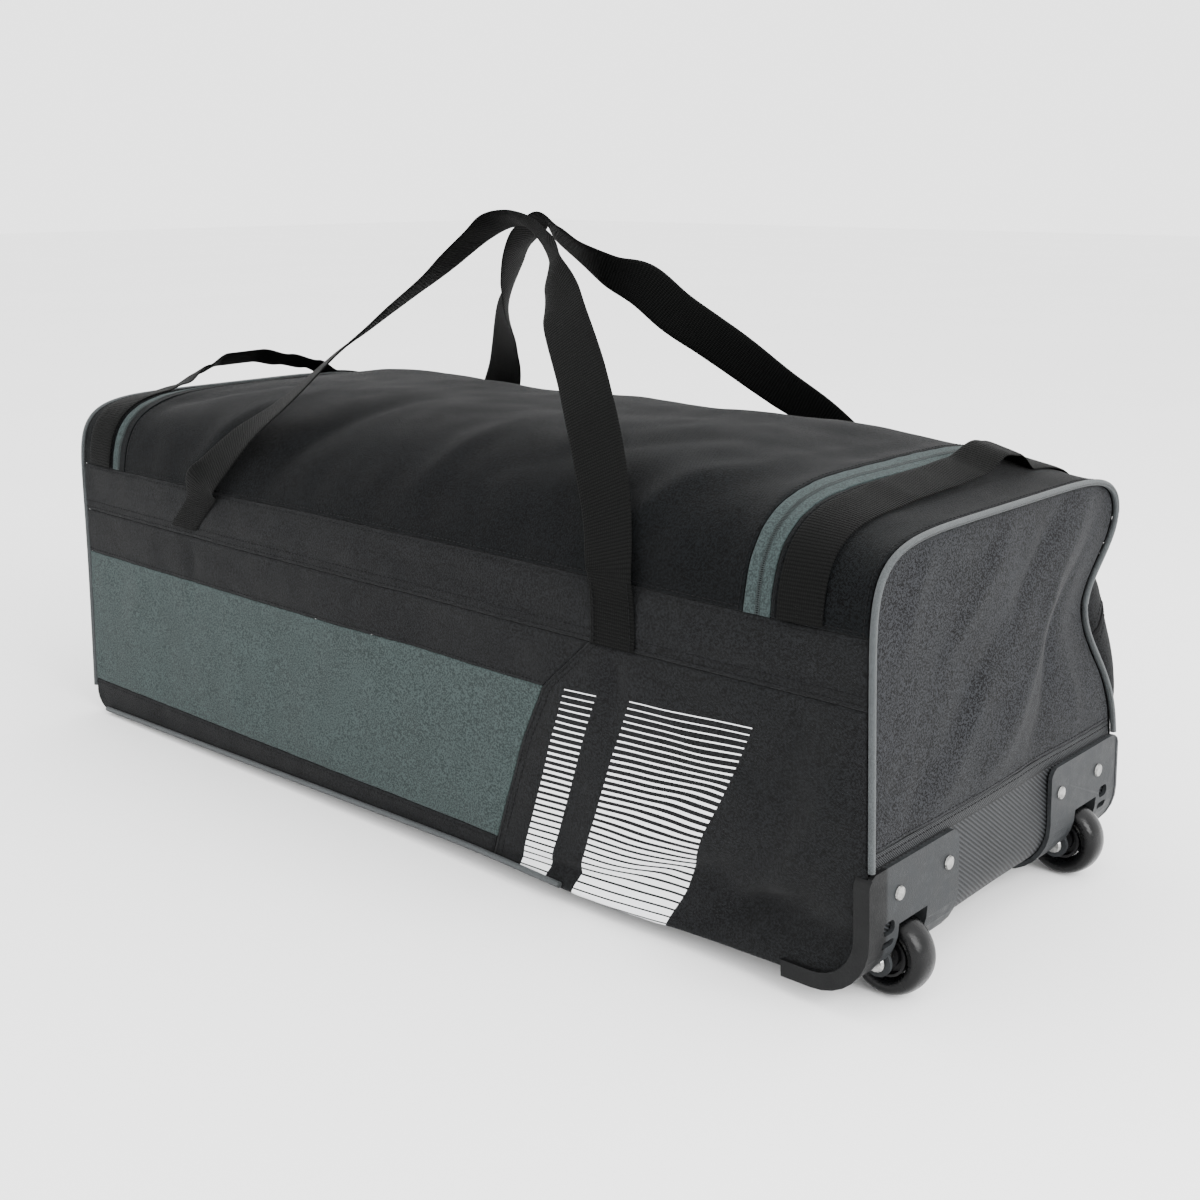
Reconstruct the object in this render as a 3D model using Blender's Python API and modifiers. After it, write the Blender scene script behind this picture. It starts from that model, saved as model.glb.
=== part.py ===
"""Wheeled cricket kit bag in woven cloth, with webbing handles and two corner wheels.

Metres, +Z up. +X points to the wheeled end and +Y to the side with the pocket. The bag stands on
its two wheels and on the far edge of its base, and the origin is under the middle of its box.
"""

import math
from collections import namedtuple

import bmesh
import bpy
from mathutils import Vector

# Bag body
BAG_LENGTH = 0.865
BAG_WIDTH = 0.33
END_HEIGHT = 0.294
CROWN_RISE = 0.033
SHOULDER_START = 0.18
BODY_MIDDLE = 0.144
BASE_LIFT = 0.018
END_LEAN = 0.014
END_BULGE = 0.007
SIDE_SWELL = 0.004
DENT = 0.03
FAR_CORNER = 0.022
WHEEL_CORNER = 0.038
CLOTH = 0.0025
BOARD = 0.003
SEAM = 0.0006
CLEAR = 0.0004
END_INSET = 0.0042
END_CORNER = 0.5

# Seams and coloured panels, as heights above the floor and distances from the middle of the bag
STRIP_TOP = 0.031
GREY_TOP = 0.157
BAND_LOW = 0.197
BAND_HIGH = 0.240
RIBBED_TOP = 0.107
RIBBED_RUN = 0.105

# Zips
ZIP_TAPE = 0.0095
ZIP_COIL = 0.0014
ZIP_WHEEL_INSET = 0.0805
ZIP_FAR_INSET = 0.0615

# Piping
PIPING = 0.0045
BASE_PIPING_END = 0.185

# Webbing handles
WEBBING = 0.038
WEBBING_THICK = 0.002
HANDLE_MIDDLE = -0.018
HANDLE_SPAN = 0.249
HANDLE_RISE = 0.270
HANDLE_SEWN = 0.028
GRAB_WHEEL_INSET = 0.0475
GRAB_FAR_INSET = 0.0325
GRAB_RISE = 0.026
GRAB_WIDTH = 0.033
GRAB_GATHER = 0.25
GRAB_TILT = 0.0065
GRAB_TURN_STEP = 0.01

# Pocket on the back
POCKET_MIDDLE = 0.047
POCKET_INSET = 0.0495
POCKET_LOW = 0.065
POCKET_HIGH = 0.218
POCKET_DEPTH = 0.036
POCKET_ROUND = 0.14
POCKET_SQUARE_ALONG = 16
POCKET_SQUARE_UP = 10
POCKET_RIM_CURVE = 3

# Wheels, axles and corner brackets
WHEEL_RADIUS = 0.0275
WHEEL_WIDTH = 0.024
HUB_RADIUS = 0.0142
AXLE_RADIUS = 0.004
BOLT_HEAD = 0.0065
BOLT_RISE = 0.0022
BOLT_RIM = 0.0006
BOLT_ROOM = 0.002
BOLT_SEAT = 0.008
WHEEL_INSET_X = 0.012
WHEEL_INSET_Y = 0.047
WHEEL_CLEAR = 0.0045
BRACKET_WALL = 0.003
BRACKET_WIDTH = 0.105
BRACKET_RUN = 0.060
BRACKET_TOP = 0.097
FLANGE = 0.007
LIP = 0.0004
WELD = 0.000001
SHARP_ANGLE = 40
TINY = 0.000000001
AXLE_EAR = 0.010
SLOT_INNER_Y = 0.1395
SLOT_WIDTH = 0.0125
SLOT_ROUND = 0.4
BRACKET_ROUND = 0.010
CORNER_STEPS = 5
RIVET_RADIUS = 0.0048
RIVET_RISE = 0.0022
RIVET_SIDES = 14
RIVET_DROP = 0.020
RIVET_EDGE = 0.030
RIVET_SPACING = 0.058

TYRE_SIDES = 36
HUB_SIDES = 20
BOLT_SIDES = 16
WELL_SIDES = 36

# Half profiles of turned pieces, as shares of each piece's radius and half width (or height)
Turned = namedtuple("Turned", "radius half_width")
TYRE = (
    Turned(0.53, 0.72),
    Turned(0.66, 0.90),
    Turned(0.77, 0.98),
    Turned(0.86, 0.93),
    Turned(0.93, 0.76),
    Turned(0.97, 0.52),
    Turned(0.99, 0.27),
)
HUB = (
    Turned(0.59, 0.60),
    Turned(0.62, 0.35),
    Turned(0.84, 0.35),
    Turned(0.88, 0.70),
    Turned(1.00, 0.70),
)
RIVET_DOME = (
    Turned(1.00, 0.00),
    Turned(0.90, 0.60),
    Turned(0.50, 0.95),
)

HALF_LENGTH = BAG_LENGTH / 2
HALF_WIDTH = BAG_WIDTH / 2
ZIP_WHEEL_END = HALF_LENGTH - ZIP_WHEEL_INSET
ZIP_FAR_END = ZIP_FAR_INSET - HALF_LENGTH
GRAB_WHEEL_END = HALF_LENGTH - GRAB_WHEEL_INSET
GRAB_FAR_END = GRAB_FAR_INSET - HALF_LENGTH
POCKET_LENGTH = BAG_LENGTH - 2 * POCKET_INSET
AXLE_X = HALF_LENGTH - WHEEL_INSET_X
AXLE_Y = HALF_WIDTH - WHEEL_INSET_Y
WELL_RADIUS = WHEEL_RADIUS + WHEEL_CLEAR
WELL_HALF_WIDTH = WHEEL_WIDTH / 2 + WHEEL_CLEAR

# Lowest and highest edges of the small windows beside each wheel
BRACKET_SLOTS = ((0.0445, 0.0495), (0.0535, 0.0620))

# The box runs from the far piping to the wheels, and from the front bracket to the pocket.
FAR_REACH = HALF_LENGTH + PIPING / 2
WHEEL_REACH = AXLE_X + WHEEL_RADIUS
FRONT_REACH = HALF_WIDTH + SIDE_SWELL + CLEAR + WEBBING_THICK
BACK_REACH = HALF_WIDTH + POCKET_DEPTH
ORIGIN_SHIFT = Vector(((FAR_REACH - WHEEL_REACH) / 2, (FRONT_REACH - BACK_REACH) / 2, 0))

# Cross sections of the body: place along it, share of the crown's rise, and how square the
# shoulders are (2 is an ellipse).
Section = namedtuple("Section", "along crown square")
SECTIONS = (
    Section(-1.00, 0.10, 6.5),
    Section(-0.84, 0.36, 4.8),
    Section(-0.53, 0.80, 3.4),
    Section(-0.20, 0.84, 3.0),
    Section(0.19, 0.87, 3.0),
    Section(0.55, 0.90, 3.1),
    Section(0.76, 0.54, 4.2),
    Section(1.00, 0.00, 6.2),
)

# The slanting seam between the grey and the striped panel: its height as a share of the way from
# the base strip to the band, and its place along the bag as a share of half the length.
Slant = namedtuple("Slant", "high along")
SLANT = (
    Slant(-0.190, 0.250),
    Slant(0.000, 0.273),
    Slant(0.253, 0.308),
    Slant(0.506, 0.345),
    Slant(0.759, 0.392),
    Slant(1.000, 0.493),
)

# Main dents and folds: the place as shares of half the length, half the width and the end's height,
# the reach on the same shares, and the push as shares of DENT.
Dent = namedtuple("Dent", "along across high reach_along reach_across reach_high push_x push_y push_z")
DENTS = (
    Dent(1.00, 1.00, 0.66, 0.11, 0.60, 0.17, -0.50, -0.85, 0.00),
    Dent(0.84, -1.00, 0.17, 0.16, 0.50, 0.05, 0.00, 0.30, 0.00),
    Dent(0.58, -1.00, 0.13, 0.14, 0.50, 0.06, 0.00, 0.16, 0.00),
    Dent(0.08, -1.00, 0.56, 0.12, 0.50, 0.12, 0.00, 0.12, 0.00),
    Dent(0.50, -1.00, 0.02, 0.20, 0.40, 0.12, 0.00, -0.15, -0.10),
    Dent(-0.40, -0.55, 1.00, 0.12, 0.40, 0.30, 0.00, 0.00, -0.16),
    Dent(0.05, -0.20, 1.05, 0.20, 0.60, 0.30, 0.00, 0.00, -0.10),
    Dent(-0.10, 1.00, 0.55, 0.40, 0.50, 0.25, 0.00, -0.20, 0.00),
    Dent(1.00, -0.35, 0.72, 0.20, 0.30, 0.14, -0.22, 0.00, 0.00),
    Dent(1.00, 0.35, 0.55, 0.20, 0.22, 0.20, -0.14, 0.00, 0.00),
    Dent(-1.00, 0.20, 0.60, 0.20, 0.45, 0.22, 0.18, 0.00, 0.00),
    Dent(-1.00, 0.00, 0.55, 0.10, 3.00, 0.45, 0.14, 0.00, 0.00),
)

# Carry handles, from the foot at the wheeled end to the other foot: places as shares of
# HANDLE_SPAN, half the width and HANDLE_RISE, then the way that the webbing's width points.
HandleRow = namedtuple("HandleRow", "reach across rise wide_x wide_y wide_z")
FRONT_HANDLE = (
    HandleRow(1.02, -1.045, 0.00, 1.0, 0.0, 0.0),
    HandleRow(1.02, -1.045, 0.06, 1.0, 0.0, 0.0),
    HandleRow(1.00, -1.040, 0.16, 1.0, 0.0, 0.0),
    HandleRow(0.93, -0.940, 0.32, 1.0, 0.1, 0.1),
    HandleRow(0.82, -0.820, 0.47, 1.0, 0.2, 0.1),
    HandleRow(0.70, -0.700, 0.60, 1.0, 0.2, 0.2),
    HandleRow(0.55, -0.560, 0.73, 0.9, 0.1, 0.3),
    HandleRow(0.47, -0.470, 0.79, 0.9, -0.1, 0.4),
    HandleRow(0.40, -0.400, 0.84, 0.8, -0.4, 0.4),
    HandleRow(0.34, -0.320, 0.89, 0.7, -0.6, 0.3),
    HandleRow(0.24, -0.240, 0.94, 0.6, -0.7, 0.3),
    HandleRow(0.12, -0.170, 0.97, 0.4, -0.8, 0.3),
    HandleRow(0.02, -0.150, 0.97, 0.2, -0.9, 0.3),
    HandleRow(-0.07, -0.160, 0.93, 0.4, -0.8, 0.3),
    HandleRow(-0.18, -0.220, 0.85, 0.5, -0.8, 0.3),
    HandleRow(-0.25, -0.310, 0.78, 0.6, -0.8, 0.2),
    HandleRow(-0.32, -0.430, 0.70, 0.7, -0.7, 0.2),
    HandleRow(-0.42, -0.606, 0.59, 0.8, -0.6, 0.1),
    HandleRow(-0.54, -0.770, 0.46, 0.9, -0.4, 0.1),
    HandleRow(-0.68, -0.930, 0.33, 0.9, 0.0, 0.2),
    HandleRow(-0.80, -1.045, 0.200, 1.0, 0.0, 0.0),
    HandleRow(-0.90, -1.045, 0.105, 1.0, 0.0, 0.0),
    HandleRow(-0.985, -1.045, 0.024, 1.0, 0.0, 0.0),
)
BACK_HANDLE = (
    HandleRow(0.99, 1.045, 0.10, 1.0, 0.0, 0.0),
    HandleRow(0.98, 1.045, 0.16, 1.0, 0.0, 0.0),
    HandleRow(0.90, 1.010, 0.27, 1.0, 0.0, 0.1),
    HandleRow(0.76, 0.960, 0.39, 0.9, -0.1, 0.3),
    HandleRow(0.61, 0.880, 0.48, 0.7, -0.1, 0.7),
    HandleRow(0.50, 0.790, 0.56, 0.6, 0.0, 0.8),
    HandleRow(0.42, 0.680, 0.63, 0.5, 0.0, 0.8),
    HandleRow(0.33, 0.575, 0.70, 0.5, 0.1, 0.8),
    HandleRow(0.25, 0.475, 0.78, 0.6, 0.1, 0.8),
    HandleRow(0.17, 0.375, 0.82, 0.7, -0.3, 0.6),
    HandleRow(0.08, 0.290, 0.88, 0.7, -0.6, 0.4),
    HandleRow(0.03, 0.220, 0.93, 0.6, -0.7, 0.4),
    HandleRow(-0.01, 0.180, 0.97, 0.5, -0.8, 0.3),
    HandleRow(-0.06, 0.165, 0.94, 0.3, -0.9, 0.3),
    HandleRow(-0.13, 0.190, 0.88, 0.3, -0.9, 0.1),
    HandleRow(-0.19, 0.240, 0.81, 0.4, -0.9, 0.0),
    HandleRow(-0.25, 0.300, 0.74, 0.6, -0.8, -0.1),
    HandleRow(-0.33, 0.400, 0.67, 0.8, -0.5, -0.2),
    HandleRow(-0.44, 0.560, 0.57, 0.9, -0.2, -0.3),
    HandleRow(-0.62, 0.800, 0.42, 1.0, 0.0, -0.2),
    HandleRow(-0.80, 0.960, 0.28, 1.0, 0.0, -0.1),
    HandleRow(-0.98, 1.045, 0.16, 1.0, 0.0, 0.0),
    HandleRow(-0.99, 1.045, 0.10, 1.0, 0.0, 0.0),
)

# Grab handles on the ends: place across the bag as a share of half its width, and the lift off
# the cloth as a share of GRAB_RISE.
GrabRow = namedtuple("GrabRow", "across lift")
WHEEL_END_GRAB = (
    GrabRow(-0.50, 0.00),
    GrabRow(-0.34, 0.06),
    GrabRow(-0.10, 0.10),
    GrabRow(0.14, 0.18),
    GrabRow(0.34, 0.50),
    GrabRow(0.44, 0.42),
    GrabRow(0.56, 0.00),
)
FAR_END_GRAB = (
    GrabRow(-0.62, 0.00),
    GrabRow(-0.48, 0.12),
    GrabRow(-0.32, 0.55),
    GrabRow(-0.18, 0.84),
    GrabRow(0.05, 0.86),
    GrabRow(0.24, 0.62),
    GrabRow(0.44, 0.35),
    GrabRow(0.58, 0.00),
)

MATERIALS = {
    # name: colour, roughness, metallic
    "black_cloth": ((0.018, 0.019, 0.022), 0.85, 0.0),
    "grey_cloth": ((0.115, 0.150, 0.150), 0.80, 0.0),
    "end_cloth": ((0.030, 0.032, 0.038), 0.80, 0.0),
    "black_webbing": ((0.014, 0.014, 0.014), 0.75, 0.0),
    "grey_piping": ((0.200, 0.225, 0.230), 0.60, 0.0),
    "grey_tape": ((0.120, 0.165, 0.165), 0.75, 0.0),
    "ribbed_cloth": ((0.040, 0.043, 0.045), 0.60, 0.0),
    "black_plastic": ((0.035, 0.038, 0.040), 0.50, 0.0),
    "black_rubber": ((0.020, 0.020, 0.022), 0.40, 0.0),
    "steel": ((0.600, 0.600, 0.580), 0.30, 1.0),
}

collection = bpy.data.collections.new("kit_bag")
cutters = bpy.data.collections.new("cutters")


def lerp(a, b, t):
    return a + (b - a) * t


def smooth(t):
    return t * t * (3 - 2 * t)


def even(count):
    """Even steps from 0 to 1."""
    return [i / count for i in range(count + 1)]


def finer_at_end(count):
    return [math.sin(math.pi / 2 * t) for t in even(count)]


def finer_at_start(count):
    return [1 - math.cos(math.pi / 2 * t) for t in even(count)]


def finer_at_both(count):
    return [(1 - math.cos(math.pi * t)) / 2 for t in even(count)]


def section_at(along):
    """The crown share and squareness at a place along the bag, from -1 to 1."""
    for a, b in zip(SECTIONS, SECTIONS[1:]):
        if along <= b.along:
            t = smooth(max(0.0, (along - a.along) / (b.along - a.along)))
            return lerp(a.crown, b.crown, t), lerp(a.square, b.square, t)
    return SECTIONS[-1].crown, SECTIONS[-1].square


def base_height(x):
    return BASE_LIFT * (x + HALF_LENGTH) / BAG_LENGTH


def crown_height(x):
    return END_HEIGHT + CROWN_RISE * section_at(x / HALF_LENGTH)[0]


def leaned(x, z):
    """The ends lean in towards the top, so a place along the bag moves in with its height."""
    return x - END_LEAN * (x / HALF_LENGTH) * z / END_HEIGHT


def dented(point):
    """A point of the plain body, moved by the table of dents and folds."""
    shift = Vector((0, 0, 0))
    for d in DENTS:
        along = (point.x / HALF_LENGTH - d.along) / d.reach_along
        across = (point.y / HALF_WIDTH - d.across) / d.reach_across
        high = (point.z / END_HEIGHT - d.high) / d.reach_high
        fall = math.exp(-(along**2 + across**2 + high**2))
        shift += Vector((d.push_x, d.push_y, d.push_z)) * (DENT * fall)
    return point + shift


def half_width_at(x, z, inset=0.0):
    """Half the body's width at a height: straight sides, then a shoulder that closes at the crown."""
    along = x / HALF_LENGTH
    square = section_at(along)[1]
    full = HALF_WIDTH - inset
    if z > SHOULDER_START:
        rise = (z - SHOULDER_START) / (crown_height(x) - inset - SHOULDER_START)
        full *= max(0.0, 1 - min(rise, 1.0) ** square) ** (1 / square)
    swell = math.sin(math.pi * min(1.0, z / END_HEIGHT)) * (1 - along**2)
    return full + SIDE_SWELL * swell


def on_side(x, z, side, out=0.0):
    """The body's surface at a height, on the front (side -1) or the back (side 1)."""
    return dented(Vector((leaned(x, z), side * (half_width_at(x, z) + out), z)))


def turn_at_height(x, z):
    """How far round the shoulder a height is: 1 at the shoulder's start and 0 at the crown."""
    square = section_at(x / HALF_LENGTH)[1]
    rise = (z - SHOULDER_START) / (crown_height(x) - SHOULDER_START)
    level = (1 - rise**square) ** (1 / square)
    return 1 - math.atan2(rise, level) / (math.pi / 2)


def over_top(x, turn, inset=0.0):
    """The body's surface over the top: turn runs from -1, front, through the crown to 1, back."""
    square = section_at(x / HALF_LENGTH)[1]
    angle = (1 - abs(turn)) * math.pi / 2
    radius = (math.cos(angle) ** square + math.sin(angle) ** square) ** (-1 / square)
    top = crown_height(x) - inset
    z = SHOULDER_START + (top - SHOULDER_START) * radius * math.sin(angle)
    along = x / HALF_LENGTH
    swell = SIDE_SWELL * math.sin(math.pi * min(1.0, z / END_HEIGHT)) * (1 - along**2)
    y = (HALF_WIDTH - inset) * radius * math.cos(angle) + swell
    return dented(Vector((leaned(x, z), math.copysign(y, turn), z)))


def end_point(end, y, z):
    """A point on an end panel, which bulges a little above the wheels or the far corner."""
    start = BRACKET_TOP if end > 0 else FAR_CORNER
    high = min(1.0, max(0.0, (z - start) / (END_HEIGHT - start)))
    bulge = END_BULGE * math.sin(math.pi * high) * max(0.0, 1 - (y / HALF_WIDTH) ** 2)
    return dented(Vector((leaned(end * HALF_LENGTH, z) + end * bulge, y, z)))


def material(name):
    found = bpy.data.materials.get(name)
    if found:
        return found
    colour, roughness, metallic = MATERIALS[name]
    made = bpy.data.materials.new(name)
    made.use_nodes = True
    shader = made.node_tree.nodes["Principled BSDF"]
    shader.inputs["Base Color"].default_value = (*colour, 1)
    shader.inputs["Roughness"].default_value = roughness
    shader.inputs["Metallic"].default_value = metallic
    return made


def add_object(name, data, slot, place=Vector((0, 0, 0))):
    """An object in the bag's collection, with its origin at a place measured from the bag's middle."""
    made = bpy.data.objects.new(name, data)
    collection.objects.link(made)
    made.data.materials.append(material(slot))
    made.location = place + ORIGIN_SHIFT
    return made


def add_cutter(name, data, place=Vector((0, 0, 0))):
    made = bpy.data.objects.new(name, data)
    cutters.objects.link(made)
    made.location = place + ORIGIN_SHIFT
    made.hide_render = True
    made.display_type = "WIRE"
    return made


def grid_mesh(name, rows, core=None):
    """A grid shaped to rows of points. With a core point, its faces look away from it."""
    across, down = len(rows[0]) - 1, len(rows) - 1
    grid = bmesh.new()
    bmesh.ops.create_grid(grid, x_segments=across, y_segments=down, size=0.5)
    for vertex in grid.verts:
        column = round((vertex.co.x + 0.5) * across)
        row = round((vertex.co.y + 0.5) * down)
        vertex.co = rows[row][column]
    grid.normal_update()
    if core is not None:
        facing = sum(f.normal.dot(f.calc_center_median() - core) * f.calc_area() for f in grid.faces)
        if facing < 0:
            bmesh.ops.reverse_faces(grid, faces=grid.faces)
    mesh = bpy.data.meshes.new(name)
    grid.to_mesh(mesh)
    grid.free()
    mesh.shade_smooth()
    return mesh


def panel(name, rows, slot, thick=CLOTH):
    """A cloth panel: rows of points on its outer face, made thick towards the bag's inside."""
    middle = sum((p for row in rows for p in row), Vector()) / (len(rows) * len(rows[0]))
    core = Vector((middle.x / 2, 0, BODY_MIDDLE))
    made = add_object(name, grid_mesh(name, rows, core), slot)
    wall = made.modifiers.new("wall", "SOLIDIFY")
    wall.thickness = thick
    wall.offset = -1
    return made


def ribbon(name, rows, slot):
    """Webbing from rows of points across its width."""
    made = add_object(name, grid_mesh(name, rows), slot)
    wall = made.modifiers.new("wall", "SOLIDIFY")
    wall.thickness = WEBBING_THICK
    wall.offset = 0
    return made


def tube(name, points, radius, slot, closed=False):
    """A round cord through its points."""
    curve = bpy.data.curves.new(name, "CURVE")
    curve.dimensions = "3D"
    curve.bevel_depth = radius
    curve.bevel_resolution = 1
    curve.use_fill_caps = not closed
    line = curve.splines.new("POLY")
    line.points.add(len(points) - 1)
    for spot, point in zip(line.points, points):
        spot.co = (*point, 1)
    line.use_cyclic_u = closed
    return add_object(name, curve, slot)


def turned_mesh(name, profile, sides):
    """A mesh turned about an axis along Y, from a closed profile of (radius, y) points."""
    shape = bmesh.new()
    ring = [shape.verts.new((r, y, 0)) for r, y in profile]
    for a, b in zip(ring, ring[1:] + ring[:1]):
        shape.edges.new((a, b))
    bmesh.ops.spin(
        shape, geom=shape.verts[:] + shape.edges[:], axis=(0, 1, 0), cent=(0, 0, 0),
        angle=2 * math.pi, steps=sides, use_merge=True, use_duplicate=False,
    )
    bmesh.ops.remove_doubles(shape, verts=shape.verts, dist=WELD)
    bmesh.ops.recalc_face_normals(shape, faces=shape.faces)
    if shape.calc_volume(signed=True) < 0:
        bmesh.ops.reverse_faces(shape, faces=shape.faces)
    mesh = bpy.data.meshes.new(name)
    shape.to_mesh(mesh)
    shape.free()
    mesh.shade_smooth()
    mesh.set_sharp_from_angle(angle=math.radians(SHARP_ANGLE))
    return mesh


def turned(name, profile, slot, place, sides):
    """A turned piece, with its origin at a place measured from the bag's middle."""
    return add_object(name, turned_mesh(name, profile, sides), slot, place)


def extruded_mesh(name, outline, y_from, y_to):
    """A mesh from a flat outline of (x, z) points, extruded along Y."""
    curve = bpy.data.curves.new(name, "CURVE")
    curve.dimensions = "2D"
    curve.fill_mode = "BOTH"
    curve.extrude = abs(y_to - y_from) / 2
    line = curve.splines.new("POLY")
    line.points.add(len(outline) - 1)
    for spot, (x, z) in zip(line.points, outline):
        spot.co = (x, z, 0, 1)
    line.use_cyclic_u = True
    guide = bpy.data.objects.new(name, curve)
    cutters.objects.link(guide)
    mesh = bpy.data.meshes.new_from_object(guide.evaluated_get(bpy.context.evaluated_depsgraph_get()))
    bpy.data.objects.remove(guide)
    shape = bmesh.new()
    shape.from_mesh(mesh)
    bmesh.ops.remove_doubles(shape, verts=shape.verts, dist=WELD)
    middle = (y_from + y_to) / 2
    for vertex in shape.verts:
        vertex.co = Vector((vertex.co.x, middle + vertex.co.z, vertex.co.y))
    bmesh.ops.recalc_face_normals(shape, faces=shape.faces)
    if shape.calc_volume(signed=True) < 0:
        bmesh.ops.reverse_faces(shape, faces=shape.faces)
    shape.to_mesh(mesh)
    shape.free()
    return mesh


def disc_mesh(name, radius, y_from, y_to, sides=32):
    """A round bar along Y, centred on its own origin in X and Z."""
    outline = [
        (radius * math.cos(2 * math.pi * i / sides), radius * math.sin(2 * math.pi * i / sides))
        for i in range(sides)
    ]
    return extruded_mesh(name, outline, y_from, y_to)


def boolean(target, tool, operation):
    step = target.modifiers.new(tool.name, "BOOLEAN")
    step.operation = operation
    step.object = tool
    return step


def edge_height(x):
    """The body's lower edge seen from the side: the base, turned up round both end corners."""
    to_far = x + HALF_LENGTH
    to_wheel = HALF_LENGTH - x
    rise = 0.0
    if to_far < FAR_CORNER:
        rise = FAR_CORNER - math.sqrt(max(0.0, FAR_CORNER**2 - (FAR_CORNER - to_far) ** 2))
    if to_wheel < WHEEL_CORNER:
        rise = WHEEL_CORNER - math.sqrt(max(0.0, WHEEL_CORNER**2 - (WHEEL_CORNER - to_wheel) ** 2))
    return base_height(x) + rise


def slant(z):
    """Where the slanting seam between the grey and the striped panel crosses a height."""
    high = (z - STRIP_TOP) / (BAND_LOW - STRIP_TOP)
    for a, b in zip(SLANT, SLANT[1:]):
        if high <= b.high:
            break
    return HALF_LENGTH * lerp(a.along, b.along, (high - a.high) / (b.high - a.high))


def side_rows(side, left, right, low, high, across, down):
    """Rows of points on a side: left and right give x at a height, low and high a height at x."""
    rows = []
    for v in down:
        x_left, x_right = left(lerp(low(0), high(0), v)), right(lerp(low(0), high(0), v))
        for _ in range(3):
            x_left = left(lerp(low(x_left), high(x_left), v))
            x_right = right(lerp(low(x_right), high(x_right), v))
        row = []
        for u in across:
            x = lerp(x_left, x_right, u)
            row.append(on_side(x, lerp(low(x), high(x), v), side))
        rows.append(row)
    return rows


def level(height):
    return lambda x: height


def build_front():
    """The front side: base strip, grey panel, upper strip, striped panel and band."""
    far, wheel = level(-HALF_LENGTH), level(HALF_LENGTH)
    before_slant = lambda z: slant(z) - SEAM / 2
    after_slant = lambda z: slant(z) + SEAM / 2
    lower_edge = lambda x: edge_height(x) + SEAM
    strip_top = lambda x: max(STRIP_TOP - SEAM / 2, edge_height(x) + SEAM + CLOTH)
    grey_foot = lambda x: max(STRIP_TOP + SEAM / 2, edge_height(x) + 2 * SEAM + CLOTH)
    panel("front_base_strip", side_rows(
        -1, far, before_slant, lower_edge, strip_top, finer_at_start(14), even(2)), "black_cloth")
    panel("front_grey_panel", side_rows(
        -1, far, before_slant, grey_foot, level(GREY_TOP - SEAM / 2), finer_at_start(14), even(6)),
        "grey_cloth")
    panel("front_upper_strip", side_rows(
        -1, far, before_slant, level(GREY_TOP + SEAM / 2), level(BAND_LOW - SEAM / 2),
        even(14), even(2)), "black_cloth")
    at_slant = lower_edge(slant(0))
    heights = [lerp(at_slant, STRIP_TOP, t) for t in even(2)]
    heights += [lerp(STRIP_TOP, GREY_TOP, t) for t in even(6)[1:]]
    heights += [lerp(GREY_TOP, BAND_LOW - SEAM / 2, t) for t in even(2)[1:]]
    shares = [(z - at_slant) / (heights[-1] - at_slant) for z in heights]
    panel("front_striped_panel", side_rows(
        -1, after_slant, wheel, lower_edge, level(BAND_LOW - SEAM / 2), finer_at_end(20), shares),
        "black_cloth")
    panel("front_band", side_rows(
        -1, far, wheel, level(BAND_LOW + SEAM / 2), level(BAND_HIGH - SEAM / 2), even(24), even(2)),
        "black_cloth")


def build_back():
    """The back side: one large panel under the pocket, and a band."""
    far, wheel = level(-HALF_LENGTH), level(HALF_LENGTH)
    lower_edge = lambda x: edge_height(x) + SEAM
    panel("back_panel", side_rows(
        1, far, wheel, lower_edge, level(BAND_LOW - SEAM / 2), finer_at_both(26), even(8)),
        "black_cloth")
    panel("back_band", side_rows(
        1, far, wheel, level(BAND_LOW + SEAM / 2), level(BAND_HIGH - SEAM / 2), even(24), even(2)),
        "black_cloth")


def top_rows(x_from, x_to, across, around, back_height=BAND_HIGH):
    """Rows of points over the top between two places along the bag, seam to seam."""
    rows = []
    for v in around:
        row = []
        for u in across:
            x = lerp(x_from, x_to, u)
            front = -turn_at_height(x, BAND_HIGH + SEAM / 2)
            back = turn_at_height(x, back_height + SEAM / 2)
            row.append(over_top(x, lerp(front, back, v)))
        rows.append(row)
    return rows


def build_top():
    """The lid, the gussets at both ends, and the zip tapes between them and along the back."""
    tape = ZIP_TAPE + SEAM / 2
    zip_foot = BAND_HIGH + 2 * ZIP_TAPE + ZIP_COIL
    around = finer_at_both(20)
    panel("lid", top_rows(ZIP_FAR_END + tape + ZIP_COIL, ZIP_WHEEL_END - tape - ZIP_COIL,
                          even(18), around, zip_foot), "black_cloth")
    strips = (
        ("zip_wheel_end_outer", ZIP_WHEEL_END + ZIP_COIL / 2, ZIP_WHEEL_END + tape),
        ("zip_wheel_end_inner", ZIP_WHEEL_END - tape - ZIP_COIL / 2, ZIP_WHEEL_END - ZIP_COIL / 2),
        ("zip_far_end_outer", ZIP_FAR_END - tape, ZIP_FAR_END - ZIP_COIL / 2),
        ("zip_far_end_inner", ZIP_FAR_END + ZIP_COIL / 2, ZIP_FAR_END + tape + ZIP_COIL / 2),
    )
    for name, x_from, x_to in strips:
        panel(name, top_rows(x_from, x_to, even(1), around, BAND_HIGH), "grey_tape", CLOTH)
    ends = (
        ("gusset_wheel_end", ZIP_WHEEL_END + tape + SEAM, HALF_LENGTH),
        ("gusset_far_end", -HALF_LENGTH, ZIP_FAR_END - tape - SEAM),
    )
    for name, x_from, x_to in ends:
        panel(name, top_rows(x_from, x_to, even(3), around), "black_cloth")
    build_back_zip()


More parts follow.
